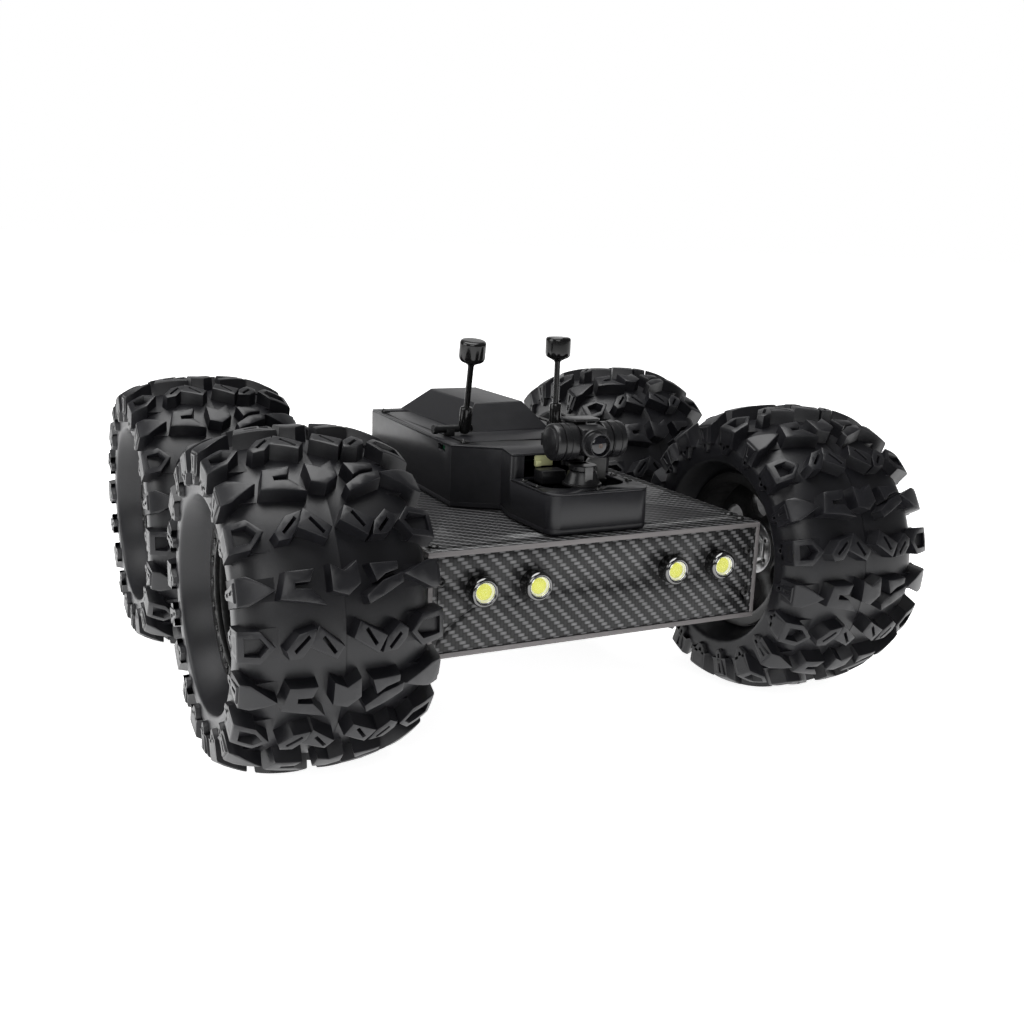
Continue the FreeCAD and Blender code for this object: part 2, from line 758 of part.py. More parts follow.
def make_tyre(wheel):
    body = new_body(f"tyre_{wheel}_body")
    section = new_sketch(body, f"tyre_{wheel}_section", "XZ_Plane")
    edge = "tyre_width / 2"
    ring = f"{edge} - opening_setback"
    half = [
        ("25", "carcass_radius - 1"),
        ("42", "carcass_radius - 4.5"),
        ("50", "carcass_radius - 10"),
        (f"{ring} - 1", "opening_radius + 11"),
        (ring, "opening_radius + 8"),
        (ring, "opening_radius + 1"),
        (f"{ring} - 1", "opening_radius"),
        ("bead_seat + 4", "bead_radius + 5.5"),
        ("bead_seat", "bead_radius + 4.8"),
        ("bead_seat", "bead_radius"),
        ("bead_seat - 7", "bead_radius"),
        ("bead_seat - 7", "bead_radius + 4"),
        ("bead_seat", "bead_radius + 8"),
        ("47", "carcass_radius - 23"),
        ("48", "carcass_radius - 18"),
        ("44", "carcass_radius - 13.5"),
        ("25", "carcass_radius - 5.7"),
    ]
    mirrored = [(f"-({x})", y) for x, y in reversed(half)]
    outline(section, half + mirrored)
    revolve(body, section)
    rows = {"a": (0, [("-" + edge, "-40"), ("-21", "-3"), ("3", "21"), ("40", edge)]),
            "b": (18, [("-" + edge, "-36"), ("-9", "9"), ("36", edge)])}
    for row, (turn, lugs) in rows.items():
        sketch = new_sketch(body, f"lug_{row}_{wheel}", "XZ_Plane", turn=((1, 0, 0), turn))
        for low, high in lugs:
            middle = f"({low} + {high}) / 2"
            feet = [(low, foot_radius(low)), (high, foot_radius(high))]
            tops = [(x, crown(x)) for x in (high, middle, low)]
            outline(sketch, feet + tops)
        repeat_round(body, revolve(body, sketch, degrees="lug_angle"), "X_Axis", "lug_count")
    side, end = WHEELS[wheel]
    spin = Rotation(Vector(1, 0, 0), LUG_PHASE[wheel])
    spot = Vector(side * value("track / 2"), end * value("wheelbase / 2"), value("axle_height"))
    body.Placement = Placement(spot, spin)
    subpart(body, f"tyre_{wheel}")


def foot_radius(x):
    """Lugs start inside the carcass, lower down at its shoulders."""
    return "carcass_radius - 18" if "tyre_width" in x else "carcass_radius - 5"


def make_wheel_fasteners(wheel):
    face = "disc_inboard + disc_thickness"
    nut = hexagon("wheel_nut", "wheel_nut_radius", "wheel_nut_height", (face, 0, 0), TO_LEFT)
    solids = [cut("nut", nut, [rod("nut_bore", "shaft_bore", "wheel_nut_height", (face, 0, 0), TO_LEFT)])]
    for step in range(int(value("hub_bolt_count"))):
        angle = f"{step} * 360 / hub_bolt_count"
        spot = (face, f"hub_bolt_circle * sin({angle})", f"hub_bolt_circle * cos({angle})")
        solids.append(button_screw(spot, TO_LEFT, "disc_thickness + hub_flange_thickness - 0.5", "0.95"))
    for step in range(int(value("ring_bolt_count"))):
        angle = f"{step} * 360 / ring_bolt_count"
        spot = ("bead_seat + rim_gap + wall", f"ring_bolt_circle * sin({angle})",
                f"ring_bolt_circle * cos({angle})")
        solids.append(button_screw(spot, TO_LEFT, "wall + 3", "0.8"))
    subpart(on_axle(group(f"fasteners_{wheel}", solids), wheel, "track / 2"), f"wheel_fasteners_{wheel}")


# ---------------------------------------------------------------- power and boards
def make_battery():
    body = new_body("battery")
    sketch = new_sketch(body, "battery_outline", "XY_Plane", "box_bottom + plate")
    rectangle(sketch, "-battery_width / 2", "-battery_length / 2", "battery_width / 2", "battery_length / 2")
    case = pad(body, sketch, "battery_height")
    half = (value("battery_width / 2"), value("battery_length / 2"))
    round_edges(body, case, [(a * half[0], b * half[1]) for a in (-1, 1) for b in (-1, 1)], "4")
    subpart(body, "battery_pack")


def make_motor_driver():
    """Board on four legs, with a finned heat sink and two rows of terminals."""
    floor = "box_bottom + plate"
    board_z = f"{floor} + standoff_height"
    board = block("driver_board", ("driver_width", "driver_length", "board_thickness"),
                  ("-driver_width / 2", "driver_y", board_z))
    ends = ("driver_y + driver_leg_inset", "driver_y + driver_length - driver_leg_inset")
    legs = [rod("driver_leg", "standoff_radius", "standoff_height", (f"{side} * driver_leg_x", y, floor))
            for side in (-1, 1) for y in ends]
    top = f"{board_z} + board_thickness"
    sink_y = "driver_y + (driver_length - sink_length) / 2"
    sink = block("heat_sink_base", ("sink_width", "sink_length", "sink_base"),
                 ("-sink_width / 2", sink_y, top))
    count = int(value("sink_width / fin_pitch"))
    fins = [block("heat_sink_fin", ("fin_thickness", "sink_length", "fin_height"),
                  (f"{step} * fin_pitch - sink_width / 2", sink_y, f"{top} + sink_base"))
            for step in range(count)]
    terminal_y = "driver_y + (driver_length - terminal_length) / 2"
    terminal_size = ("terminal_width", "terminal_length", "terminal_height")
    terminals = [block("terminal_block", terminal_size, (x, terminal_y, top))
                 for x in ("1 - driver_width / 2", "driver_width / 2 - 1 - terminal_width")]
    subpart(fuse("driver", [board, sink] + legs + fins + terminals), "motor_driver_board")


def make_main_board():
    """Board in the module, with a processor and the socket behind the side port."""
    floor = "box_top + module_gap + module_base"
    board_z = f"{floor} + main_leg_height"
    board = block("main_sheet", ("main_width", "main_length", "board_thickness"),
                  ("-main_width / 2", "main_front_y", board_z))
    ends = ("main_front_y + main_leg_inset", "main_front_y + main_length - main_leg_inset")
    legs = [rod("main_leg", "standoff_radius", "main_leg_height", (f"{side} * main_leg_x", y, floor))
            for side in (-1, 1) for y in ends]
    top = f"{board_z} + board_thickness"
    chip = block("chip", ("chip_width", "chip_width", "chip_height"),
                 ("-chip_width / 2", "main_front_y + main_length / 2 - chip_width / 2", top))
    socket_width = "port_width - 1"
    socket_spot = ("-port_reach", "port_y + 0.5")
    riser = block("port_riser", ("port_depth", socket_width, f"port_z + port_height - 0.5 - ({top})"),
                  (*socket_spot, top))
    shelf = block("port_shelf", ("port_depth", socket_width, "board_thickness"), (*socket_spot, board_z))
    subpart(fuse("main", [board, chip, riser, shelf] + legs), "main_board")


def make_power_switch():
    """Push switch in the rear panel; its button stands out by its travel."""
    face = "box_length / 2 - panel_recess"
    spot = ("0", face, "axle_height")
    bezel = rod("switch_bezel", "switch_bezel_radius", "switch_stand_out", spot, TO_REAR)
    barrel = rod("switch_barrel", "switch_radius - 0.1", "switch_depth", spot, TO_FRONT)
    well = rod("switch_well", "button_radius + button_gap", "switch_well + switch_stand_out",
               ("0", f"{face} - switch_well", "axle_height"), TO_REAR)
    subpart(cut("switch", fuse("switch_blank", [bezel, barrel]), [well]), "power_switch")
    button_y = f"{face} + switch_stand_out + button_travel - button_length"
    button = rod("button", "button_radius", "button_length", ("0", button_y, "axle_height"), TO_REAR)
    subpart(button, "power_button")


# ---------------------------------------------------------------- control module
def mirrored_outline(half):
    """Outline from its right half, given from the rear to the front."""
    return [(f"-({x})", y) for x, y in half] + list(reversed(half))


TALL_HALF = [("rear_half_width", "rear_y"), ("shoulder_half_width", "shoulder_y"),
             ("waist_half_width", "waist_y"), ("step_half_width", "step_y")]
FULL_HALF = TALL_HALF + [("nose_half_width", "nose_y")]


def inner_half(half):
    """The same half outline moved in by the wall, near enough for the wall's thickness."""
    moved = {"rear_y": "rear_y - module_wall", "nose_y": "nose_y + module_wall",
             "shoulder_y": "shoulder_y + 1.2", "waist_y": "waist_y + 2"}
    return [(f"{x} - module_wall", moved.get(y, y)) for x, y in half]


def mirrored_points(x, y):
    return [(side * value(x), value(y)) for side in (-1, 1)]


def make_module_base():
    body = new_body("module_floor")
    foot = new_sketch(body, "module_foot", "XY_Plane", "box_top")
    outline(foot, mirrored_outline(inner_half(FULL_HALF)))
    pad(body, foot, "module_gap")
    sketch = new_sketch(body, "module_base_outline", "XY_Plane", "box_top + module_gap")
    outline(sketch, mirrored_outline(FULL_HALF))
    sheet = pad(body, sketch, "module_base")
    round_edges(body, sheet, mirrored_points("nose_half_width", "nose_y"), "nose_corner")
    subpart(body, "module_base")


def make_module_shell():
    body = new_body("shell")
    floor = "box_top + module_gap + module_base"
    low = new_sketch(body, "shell_low", "XY_Plane", floor)
    outline(low, mirrored_outline(FULL_HALF))
    pad(body, low, f"nose_top - module_lid - ({floor})")
    tall = new_sketch(body, "shell_tall", "XY_Plane", floor)
    outline(tall, mirrored_outline(TALL_HALF))
    walls = pad(body, tall, f"module_top - module_lid - ({floor})")
    nose = round_edges(body, walls, mirrored_points("nose_half_width", "nose_y"), "nose_corner")
    step = mirrored_points("step_half_width", "step_y")
    round_edges(body, nose, step, "step_corner", value("nose_top - module_lid"))
    low_hollow = new_sketch(body, "shell_low_hollow", "XY_Plane", floor)
    outline(low_hollow, mirrored_outline(inner_half(FULL_HALF)))
    pocket(body, low_hollow, f"nose_top - module_lid - ({floor})", backwards=True)
    tall_hollow = new_sketch(body, "shell_tall_hollow", "XY_Plane", "nose_top - module_lid - 0.01")
    tall_inner = [("rear_half_width - module_wall", "rear_y - module_wall"),
                  ("shoulder_half_width - module_wall", "shoulder_y + 1.2"),
                  ("waist_half_width - module_wall", "waist_y + 2"),
                  ("waist_half_width - module_wall + 1.5", "step_y + module_wall")]
    outline(tall_hollow, mirrored_outline(tall_inner))
    pocket(body, tall_hollow, "module_top - nose_top + 1", backwards=True)
    window = new_sketch(body, "recess_window", "XZ_Plane", "-step_y")
    rectangle(window, "-window_half_width", "nose_top", "window_half_width", "module_top - module_lid")
    pocket(body, window, "module_wall", backwards=False)
    port = new_sketch(body, "side_port", "YZ_Plane", "-shoulder_half_width - 1")
    rectangle(port, "port_y", "port_z", "port_y + port_width", "port_z + port_height")
    pocket(body, port, "module_wall + 3", backwards=True)
    subpart(body, "module_shell")


def make_module_lid():
    body = new_body("lid")
    sketch = new_sketch(body, "lid_outline", "XY_Plane", "module_top - module_lid")
    outline(sketch, mirrored_outline(TALL_HALF))
    for x, y in lid_screw_spots():
        circle(sketch, x, y, "screw_clearance")
    pad(body, sketch, "module_lid")
    subpart(body, "module_lid")


def lid_screw_spots():
    return [(f"{side} * {x}", y) for side in (-1, 1) for x, y in ((50, "71"), (48, "-68"))]


def make_nose_plate():
    body = new_body("nose_top_plate")
    sketch = new_sketch(body, "nose_outline", "XY_Plane", "nose_top - module_lid")
    outline(sketch, [("-step_half_width", "step_y"), ("-nose_half_width", "nose_y"),
                     ("nose_half_width", "nose_y"), ("step_half_width", "step_y")])
    for x, y in nose_screw_spots():
        circle(sketch, x, y, "1.2")
    sheet = pad(body, sketch, "module_lid")
    rounded = round_edges(body, sheet, mirrored_points("nose_half_width", "nose_y"), "nose_corner")
    opening = new_sketch(body, "nose_opening", "XY_Plane", "nose_top")
    rectangle(opening, "-opening_half_width", "opening_front_y", "opening_half_width", "step_y + 1")
    hole = pocket(body, opening, "module_lid")
    round_edges(body, hole, mirrored_points("opening_half_width", "opening_front_y"), "opening_corner")
    subpart(body, "nose_plate")


def nose_screw_spots():
    side = "opening_half_width + 3.4"
    return [(f"-({side})", "-123.5"), (f"-({side})", "-141.5"), ("0", "-159.5"),
            (side, "-141.5"), (side, "-123.5")]


def make_lid_cover():
    """Hollow cover with sloping sides over the middle of the lid."""
    body = new_body("cover")
    for name, inset, kind in (("outer", "0", "PartDesign::AdditiveLoft"),
                              ("inner", "cover_wall", "PartDesign::SubtractiveLoft")):
        base = new_sketch(body, f"cover_{name}_base", "XY_Plane", "module_top")
        rectangle(base, f"cover_x - cover_base_half_width + {inset}", f"cover_front_y + {inset}",
                  f"cover_x + cover_base_half_width - {inset}", f"cover_rear_y - {inset}")
        top = new_sketch(body, f"cover_{name}_top", "XY_Plane", f"module_top + cover_height - {inset}")
        rectangle(top, f"cover_x - cover_top_half_width + {inset}", f"cover_top_front_y + {inset}",
                  f"cover_x + cover_top_half_width - {inset}", f"cover_top_rear_y - {inset}")
        loft = body.newObject(kind, f"cover_{name}")
        loft.Profile = base
        loft.Sections = [(top, [""])]
        DOC.recompute()
    subpart(body, "lid_cover")


def make_module_screws():
    screws = [button_screw((x, y, "module_top"), UP, "module_lid", "1") for x, y in lid_screw_spots()]
    screws += [button_screw((x, y, "nose_top"), UP, "module_lid", "0.7") for x, y in nose_screw_spots()]
    subpart(group("module_fasteners", screws), "module_screws")


# ---------------------------------------------------------------- gimbal camera
def gimbal_block(name, size, low):
    """Block given from the crossing of the pan and tilt axes."""
    corner = (f"pan_x + ({low[0]})", f"pan_y + ({low[1]})", f"tilt_z + ({low[2]})")
    return block(name, size, corner)


def gimbal_rod(name, radius, low_x, high_x):
    """Cylinder on the tilt axis."""
    start = (f"pan_x + ({low_x})", "pan_y", "tilt_z")
    return rod(name, radius, f"({high_x}) - ({low_x})", start, TO_LEFT)


def from_pan_axis(x, y, z):
    return (f"pan_x + ({x})", f"pan_y + ({y})", z)


def make_gimbal_base():
    """Fixed half of the pan motor on its bar, with the damper box and the cable guard."""
    spot = ("pan_x", "pan_y", "nose_top")
    floor, bar_z = "box_top + module_gap + module_base", "nose_top - bar_thickness"
    flange = rod("flange", "flange_radius", "flange_thickness", spot)
    motor = rod("pan_motor", "pan_motor_radius", "pan_split_z - nose_top", spot)
    bar = block("base_bar", ("bar_width", "bar_front + bar_rear", "bar_thickness"),
                from_pan_axis("-bar_width / 2", "-bar_front", bar_z))
    leg = block("base_leg", ("bar_width", "bar_leg", f"{bar_z} - ({floor})"),
                from_pan_axis("-bar_width / 2", "bar_rear - bar_leg", floor))
    damper = block("damper_box", ("damper_width", "damper_length", "damper_height"),
                   from_pan_axis("damper_left", "damper_front", bar_z))
    guard = block("cable_guard", ("guard_width", "guard_thickness", f"tilt_z - guard_drop - ({bar_z})"),
                  from_pan_axis("guard_left", "guard_front", bar_z))
    tie = block("guard_tie", ("guard_left + guard_width - tie_left", "tie_length", "bar_thickness"),
                from_pan_axis("tie_left", "tie_front", bar_z))
    pin = rod("pan_pin", "tilt_pin_radius", "pan_pin_height", ("pan_x", "pan_y", "pan_split_z"))
    subpart(fuse("base_blank", [flange, motor, bar, leg, damper, guard, tie, pin]), "gimbal_base")


def make_pan_yoke():
    """Turning half of the pan motor, with the plate and roof that carry the tilt motors."""
    hub_z = "pan_split_z + pan_gap"
    hub = rod("yoke_hub", "pan_motor_radius", "yoke_hub_height", ("pan_x", "pan_y", hub_z))
    link_z = f"{hub_z} + yoke_hub_height - link_thickness"
    link = block("yoke_link", ("bar_width", "link_length", "link_thickness"),
                 from_pan_axis("-bar_width / 2", "0", link_z))
    link_low = f"{link_z} - tilt_z"
    back_height = f"drum_radius + back_rise - ({link_low})"
    back = gimbal_block("yoke_back", ("back_width", "back_thickness", back_height),
                        ("-back_width / 2", "back_front", link_low))
    strip_length = "drum_right_out - drum_left_out - 2 * strip_inset"
    strip = gimbal_block("yoke_strip", (strip_length, "back_thickness", "strip_height"),
                         ("drum_left_out + strip_inset", "back_front", "-strip_height / 2"))
    roof = gimbal_block("yoke_roof", ("roof_width", "roof_length", "roof_thickness"),
                        ("roof_left", "roof_front", "drum_radius + roof_gap"))
    feet = [gimbal_block("yoke_foot", ("foot_width", "foot_thickness", "strip_height"),
                         (x, "back_front - foot_thickness", "-strip_height / 2"))
            for x in ("drum_left_out + strip_inset", "drum_right_out - strip_inset - foot_width")]
    socket = rod("pan_socket", "tilt_pin_radius + 0.05", "pan_pin_height", ("pan_x", "pan_y", hub_z))
    yoke = cut("yoke", fuse("yoke_blank", [hub, link, back, strip, roof] + feet), [socket])
    subpart(yoke, "pan_yoke")


def make_tilt_motors():
    """Outer half of each drum, with the pin that the camera turns on."""
    drums = []
    pin = "drum_gap + tilt_pin_length"
    for low, high, pin_low, pin_high in (
            ("drum_left_out", "drum_left_split", "drum_left_split", f"drum_left_split + {pin}"),
            ("drum_right_split", "drum_right_out", f"drum_right_split - ({pin})", "drum_right_split")):
        drum = gimbal_rod("drum", "drum_radius + 0.1", low, high)
        stub = gimbal_rod("tilt_pin", "tilt_pin_radius", pin_low, pin_high)
        flat = gimbal_block("drum_flat", (f"{high} - ({low}) + 1", "back_thickness", "2 * drum_radius + 2"),
                            (f"{low} - 0.5", "back_front - foot_thickness", "-drum_radius - 1"))
        drums.append(cut("tilt_motor", fuse("drum_blank", [drum, stub]), [flat]))
    subpart(group("drums", drums), "tilt_motors")


def make_camera_body():
    left = gimbal_rod("left_ring", "drum_radius", "drum_left_split + drum_gap", "camera_left")
    right = gimbal_rod("right_ring", "drum_radius", "camera_right", "drum_right_split - drum_gap")
    core = gimbal_rod("core", "camera_core_radius", "camera_left", "camera_right")
    axis = ("pan_x", "pan_y", "tilt_z")
    collar = rod("collar", "collar_radius", "collar_reach", axis, TO_FRONT)
    barrel = rod("barrel", "barrel_radius", "barrel_reach", axis, TO_FRONT)
    bores = [gimbal_rod("pin_bore", "tilt_pin_radius + 0.05", "drum_left_split",
                        "drum_left_split + drum_gap + tilt_pin_length + 0.2"),
             gimbal_rod("pin_bore", "tilt_pin_radius + 0.05",
                        "drum_right_split - drum_gap - tilt_pin_length - 0.2", "drum_right_split")]
    mouth = rod("lens_mouth", "lens_radius + 0.1", "lens_depth + 0.8",
                ("pan_x", "pan_y - barrel_reach", "tilt_z"), TO_REAR)
    camera = cut("camera", fuse("camera_blank", [left, right, core, collar, barrel]), bores + [mouth])
    subpart(camera, "camera_body")
    lens = rod("lens", "lens_radius", "lens_depth",
               ("pan_x", "pan_y - barrel_reach + 0.6", "tilt_z"), TO_REAR)
    subpart(lens, "camera_lens")


# ---------------------------------------------------------------- antennas
def make_antenna_connectors():
    """Fixed part of each antenna: knob at the lid's edge, arm, saddle and swivel pin."""
    connectors = []
    inner = "antenna_x - sleeve_radius - swivel_gap"
    outer = "antenna_x + sleeve_radius + swivel_gap"
    edge = "shoulder_half_width - knob_inset"
    for side in (-1, 1):
        solids = [connector_rod("cap", side, "arm_radius", f"{inner} - cap_length", inner),
                  connector_rod("pin", side, "swivel_pin_radius", inner, outer),
                  connector_rod("arm", side, "arm_radius", outer, edge),
                  connector_rod("knob", side, "arm_radius + 0.6", edge, f"{edge} + knob_length")]
        near = "antenna_x + sleeve_radius + saddle_gap"
        saddle_x = near if side > 0 else f"-({near} + saddle_size)"
        size = ("saddle_size", "saddle_size", "antenna_z - module_top")
        solids.append(block("saddle", size, (saddle_x, "antenna_y - saddle_size / 2", "module_top")))
        connectors.append(fuse("connector", solids))
    subpart(group("connectors", connectors), "antenna_connectors")


def connector_rod(name, side, radius, low, high):
    """Cylinder on an antenna's swivel axis, from low to high outwards from the middle."""
    spot = (f"{side} * ({low})", "antenna_y", "antenna_z")
    return rod(name, radius, f"({high}) - ({low})", spot, TO_LEFT if side > 0 else TO_RIGHT)


def make_antenna(label, side, tilt):
    """Sleeve with a cross bore, thin stem and rounded head, drawn upright about its pivot."""
    body = new_body(f"{label}_body")
    section = new_sketch(body, f"{label}_section", "XZ_Plane")
    head = "antenna_head_radius"
    outline(section, [
        ("0", "-sleeve_radius"), ("sleeve_radius * 0.7", "-sleeve_radius * 0.714"), ("sleeve_radius", "0"),
        ("sleeve_radius", "sleeve_length"), ("stem_radius", "sleeve_length"),
        ("stem_radius", "stem_top"), (f"{head} * 0.55", "antenna_head_base"),
        (f"{head} * 0.85", "antenna_head_base"), (head, "antenna_head_base + 2"),
        (head, "antenna_head_top - 2.5"), (f"{head} * 0.75", "antenna_head_top"), ("0", "antenna_head_top"),
    ])
    revolve(body, section, "V_Axis")
    bore = new_sketch(body, f"{label}_bore", "YZ_Plane", "-sleeve_radius - 1")
    circle(bore, "0", "0", "swivel_bore")
    pocket(body, bore, "2 * sleeve_radius + 2", backwards=True)
    place(body, (f"{side} * antenna_x", "antenna_y", "antenna_z"), ((1, 0, 0), tilt))
    subpart(body, label)


# ---------------------------------------------------------------- whole chassis
def make_all():
    make_deck()
    make_bottom_plate()
    make_side_plate("side_plate_left", 1)
    make_side_plate("side_plate_right", -1)
    make_end_panel("front_panel", -1, [(x, z, "lamp_hole_radius") for x, z in lamp_spots()])
    make_end_panel("rear_panel", 1, [("0", "axle_height", "switch_radius")])
    make_corner_posts()
    make_chassis_screws()
    make_lamps()
    make_motor_brackets()
    make_battery()
    make_motor_driver()
    make_power_switch()
    for wheel in WHEELS:
        make_gear_motor(wheel)
        make_output_shaft(wheel)
        make_drive_hub(wheel)
        make_rim(wheel)
        make_bead_ring(wheel)
        make_tyre(wheel)
        make_wheel_fasteners(wheel)
    make_module_base()
    make_module_shell()
    make_main_board()
    make_module_lid()
    make_lid_cover()
    make_nose_plate()
    make_module_screws()
    make_gimbal_base()
    make_pan_yoke()
    make_tilt_motors()
    make_camera_body()
    make_antenna_connectors()
    make_antenna("antenna_left", 1, 0)
    make_antenna("antenna_right", -1, value("antenna_rest_tilt"))


def check_model():
    broken = [item.Name for item in DOC.Objects if {"Invalid", "Error"} & set(item.State)]
    if broken:
        raise ValueError(f"failed objects: {broken}")
    for item in SUBPARTS:
        if item.Shape.isNull() or not item.Shape.isValid():
            raise ValueError(f"bad shape: {item.Label}")


def write_parts():
    os.makedirs("parts", exist_ok=True)
    for item in SUBPARTS:
        item.Shape.exportStep(os.path.join("parts", f"{item.Label}.step"))
        print(f"{item.Label}: {len(item.Shape.Solids)} solids, {item.Shape.Volume:.0f} mm3")


fill_sheet()
make_all()
DOC.recompute()
check_model()
write_parts()
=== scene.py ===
import json
import math

import bmesh
import bpy
from mathutils import Matrix, Vector
from mathutils.geometry import tessellate_polygon


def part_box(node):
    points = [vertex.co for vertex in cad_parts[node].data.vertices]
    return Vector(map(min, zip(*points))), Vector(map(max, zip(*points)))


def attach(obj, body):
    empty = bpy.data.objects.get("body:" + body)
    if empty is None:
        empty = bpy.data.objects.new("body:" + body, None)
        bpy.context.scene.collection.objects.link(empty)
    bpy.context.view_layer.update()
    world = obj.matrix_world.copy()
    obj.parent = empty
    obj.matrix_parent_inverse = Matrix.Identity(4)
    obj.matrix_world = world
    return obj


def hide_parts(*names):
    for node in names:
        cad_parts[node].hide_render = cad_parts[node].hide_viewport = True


# Looks of the four wheel robot chassis. Shapes are drawn in millimetres and become metres
# when a piece is made. +Z is up, the front faces -Y and +X is the chassis's own left.
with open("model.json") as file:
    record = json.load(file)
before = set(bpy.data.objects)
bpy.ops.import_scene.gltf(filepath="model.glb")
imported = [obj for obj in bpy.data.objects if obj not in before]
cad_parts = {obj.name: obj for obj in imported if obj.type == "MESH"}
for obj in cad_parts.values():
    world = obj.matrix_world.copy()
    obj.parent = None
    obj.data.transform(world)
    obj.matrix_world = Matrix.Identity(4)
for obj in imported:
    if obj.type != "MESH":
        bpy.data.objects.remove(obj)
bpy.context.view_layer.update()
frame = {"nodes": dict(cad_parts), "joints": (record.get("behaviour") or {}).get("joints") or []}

MM = 0.001
EASE_SEGMENTS = 2
EASE_ANGLE = 35  # degrees between two faces from which their edge is eased
WELD_GAP = 0.002
WHEELS = ("front_left", "front_right", "rear_left", "rear_right")
LEFT, FRONT, UP = (Vector(v) for v in ((1, 0, 0), (0, -1, 0), (0, 0, 1)))


# ---------------------------------------------------------------- frame
def box_of(node):
    """(lowest corner, highest corner) of a CAD node, in millimetres."""
    return tuple(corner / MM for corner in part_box(node))


def middle_of(node):
    low, high = box_of(node)
    return (low + high) / 2


def joint_point(name):
    joint = next(j for j in frame["joints"] if j["name"] == name)
    return Vector(joint["pos_m"]) / MM


def islands(node):
    """The separate solids of a CAD node, each as a list of its points in millimetres."""
    bm = bmesh.new()
    bm.from_mesh(frame["nodes"][node].data)
    bmesh.ops.remove_doubles(bm, verts=bm.verts, dist=0.001 * MM)
    found, seen = [], set()
    for start in bm.verts:
        if start in seen:
            continue
        seen.add(start)
        waiting, points = [start], []
        while waiting:
            vert = waiting.pop()
            points.append(vert.co / MM)
            for edge in vert.link_edges:
                other = edge.other_vert(vert)
                if other not in seen:
                    seen.add(other)
                    waiting.append(other)
        found.append(points)
    bm.free()
    return found


def extent(points):
    low = Vector(min(p[k] for p in points) for k in range(3))
    high = Vector(max(p[k] for p in points) for k in range(3))
    return low, high


# ---------------------------------------------------------------- shaders
def add(tree, kind, inputs=None, **settings):
    node = tree.nodes.new(f"ShaderNode{kind}")
    for key, value in settings.items():
        setattr(node, key, value)
    for socket, value in (inputs or {}).items():
        if isinstance(value, bpy.types.NodeSocket):
            tree.links.new(value, node.inputs[socket])
        else:
            node.inputs[socket].default_value = value
    return node


def maths(tree, operation, a, b=0.0):
    return add(tree, "Math", {0: a, 1: b}, operation=operation).outputs[0]


def mixed(tree, share, a, b):
    """Colour a where share is 0 and b where it is 1."""
    node = add(tree, "Mix", data_type="RGBA")
    for socket, value in ((0, share), (6, a), (7, b)):
        if isinstance(value, bpy.types.NodeSocket):
            tree.links.new(value, node.inputs[socket])
        else:
            node.inputs[socket].default_value = value
    return node.outputs[2]


def between(tree, share, low, high):
    """The number low where share is 0 and high where it is 1."""
    return add(tree, "MapRange", {"Value": share, "To Min": low, "To Max": high}).outputs[0]


def grey(level, tint=0.0):
    return (level, level, level * (1 + tint), 1)


def new_material(name, **constants):
    material = bpy.data.materials.new(name)
    material.use_nodes = True
    shader = material.node_tree.nodes["Principled BSDF"]
    for socket, value in constants.items():
        shader.inputs[socket.replace("_", " ")].default_value = value
    return material, material.node_tree, shader


def places(tree, stretch=(1, 1, 1)):
    """Places on the piece, in its own space, stretched."""
    coordinates = add(tree, "TexCoord").outputs["Object"]
    return add(tree, "Mapping", {"Vector": coordinates, "Scale": stretch}).outputs[0]


def noise(tree, scale, detail=3.0, stretch=(1, 1, 1)):
    inputs = {"Vector": places(tree, stretch), "Scale": scale, "Detail": detail}
    return add(tree, "TexNoise", inputs).outputs["Fac"]


def textured(name, dark, light, roughness, grain, depth, stretch=(1, 1, 1), **constants):
    """Surface whose colour, roughness and height vary with coarse and fine noise."""
    material, tree, shader = new_material(name, **constants)
    coarse = noise(tree, grain * 0.06, stretch=stretch)
    fine = noise(tree, grain, stretch=stretch)
    tree.links.new(mixed(tree, coarse, dark, light), shader.inputs["Base Color"])
    spread = add(tree, "Math", {0: coarse, 1: fine}, operation="MULTIPLY").outputs[0]
    tree.links.new(between(tree, spread, *roughness), shader.inputs["Roughness"])
    bump = add(tree, "Bump", {"Height": fine, "Strength": 0.6, "Distance": depth * MM})
    tree.links.new(bump.outputs[0], shader.inputs["Normal"])
    return material


TOW = 2.4  # width of one carbon tow
TWILL_STEPS = 4.0  # tows in one repeat of the twill
SATIN = 0.35  # specular level of satin black surfaces


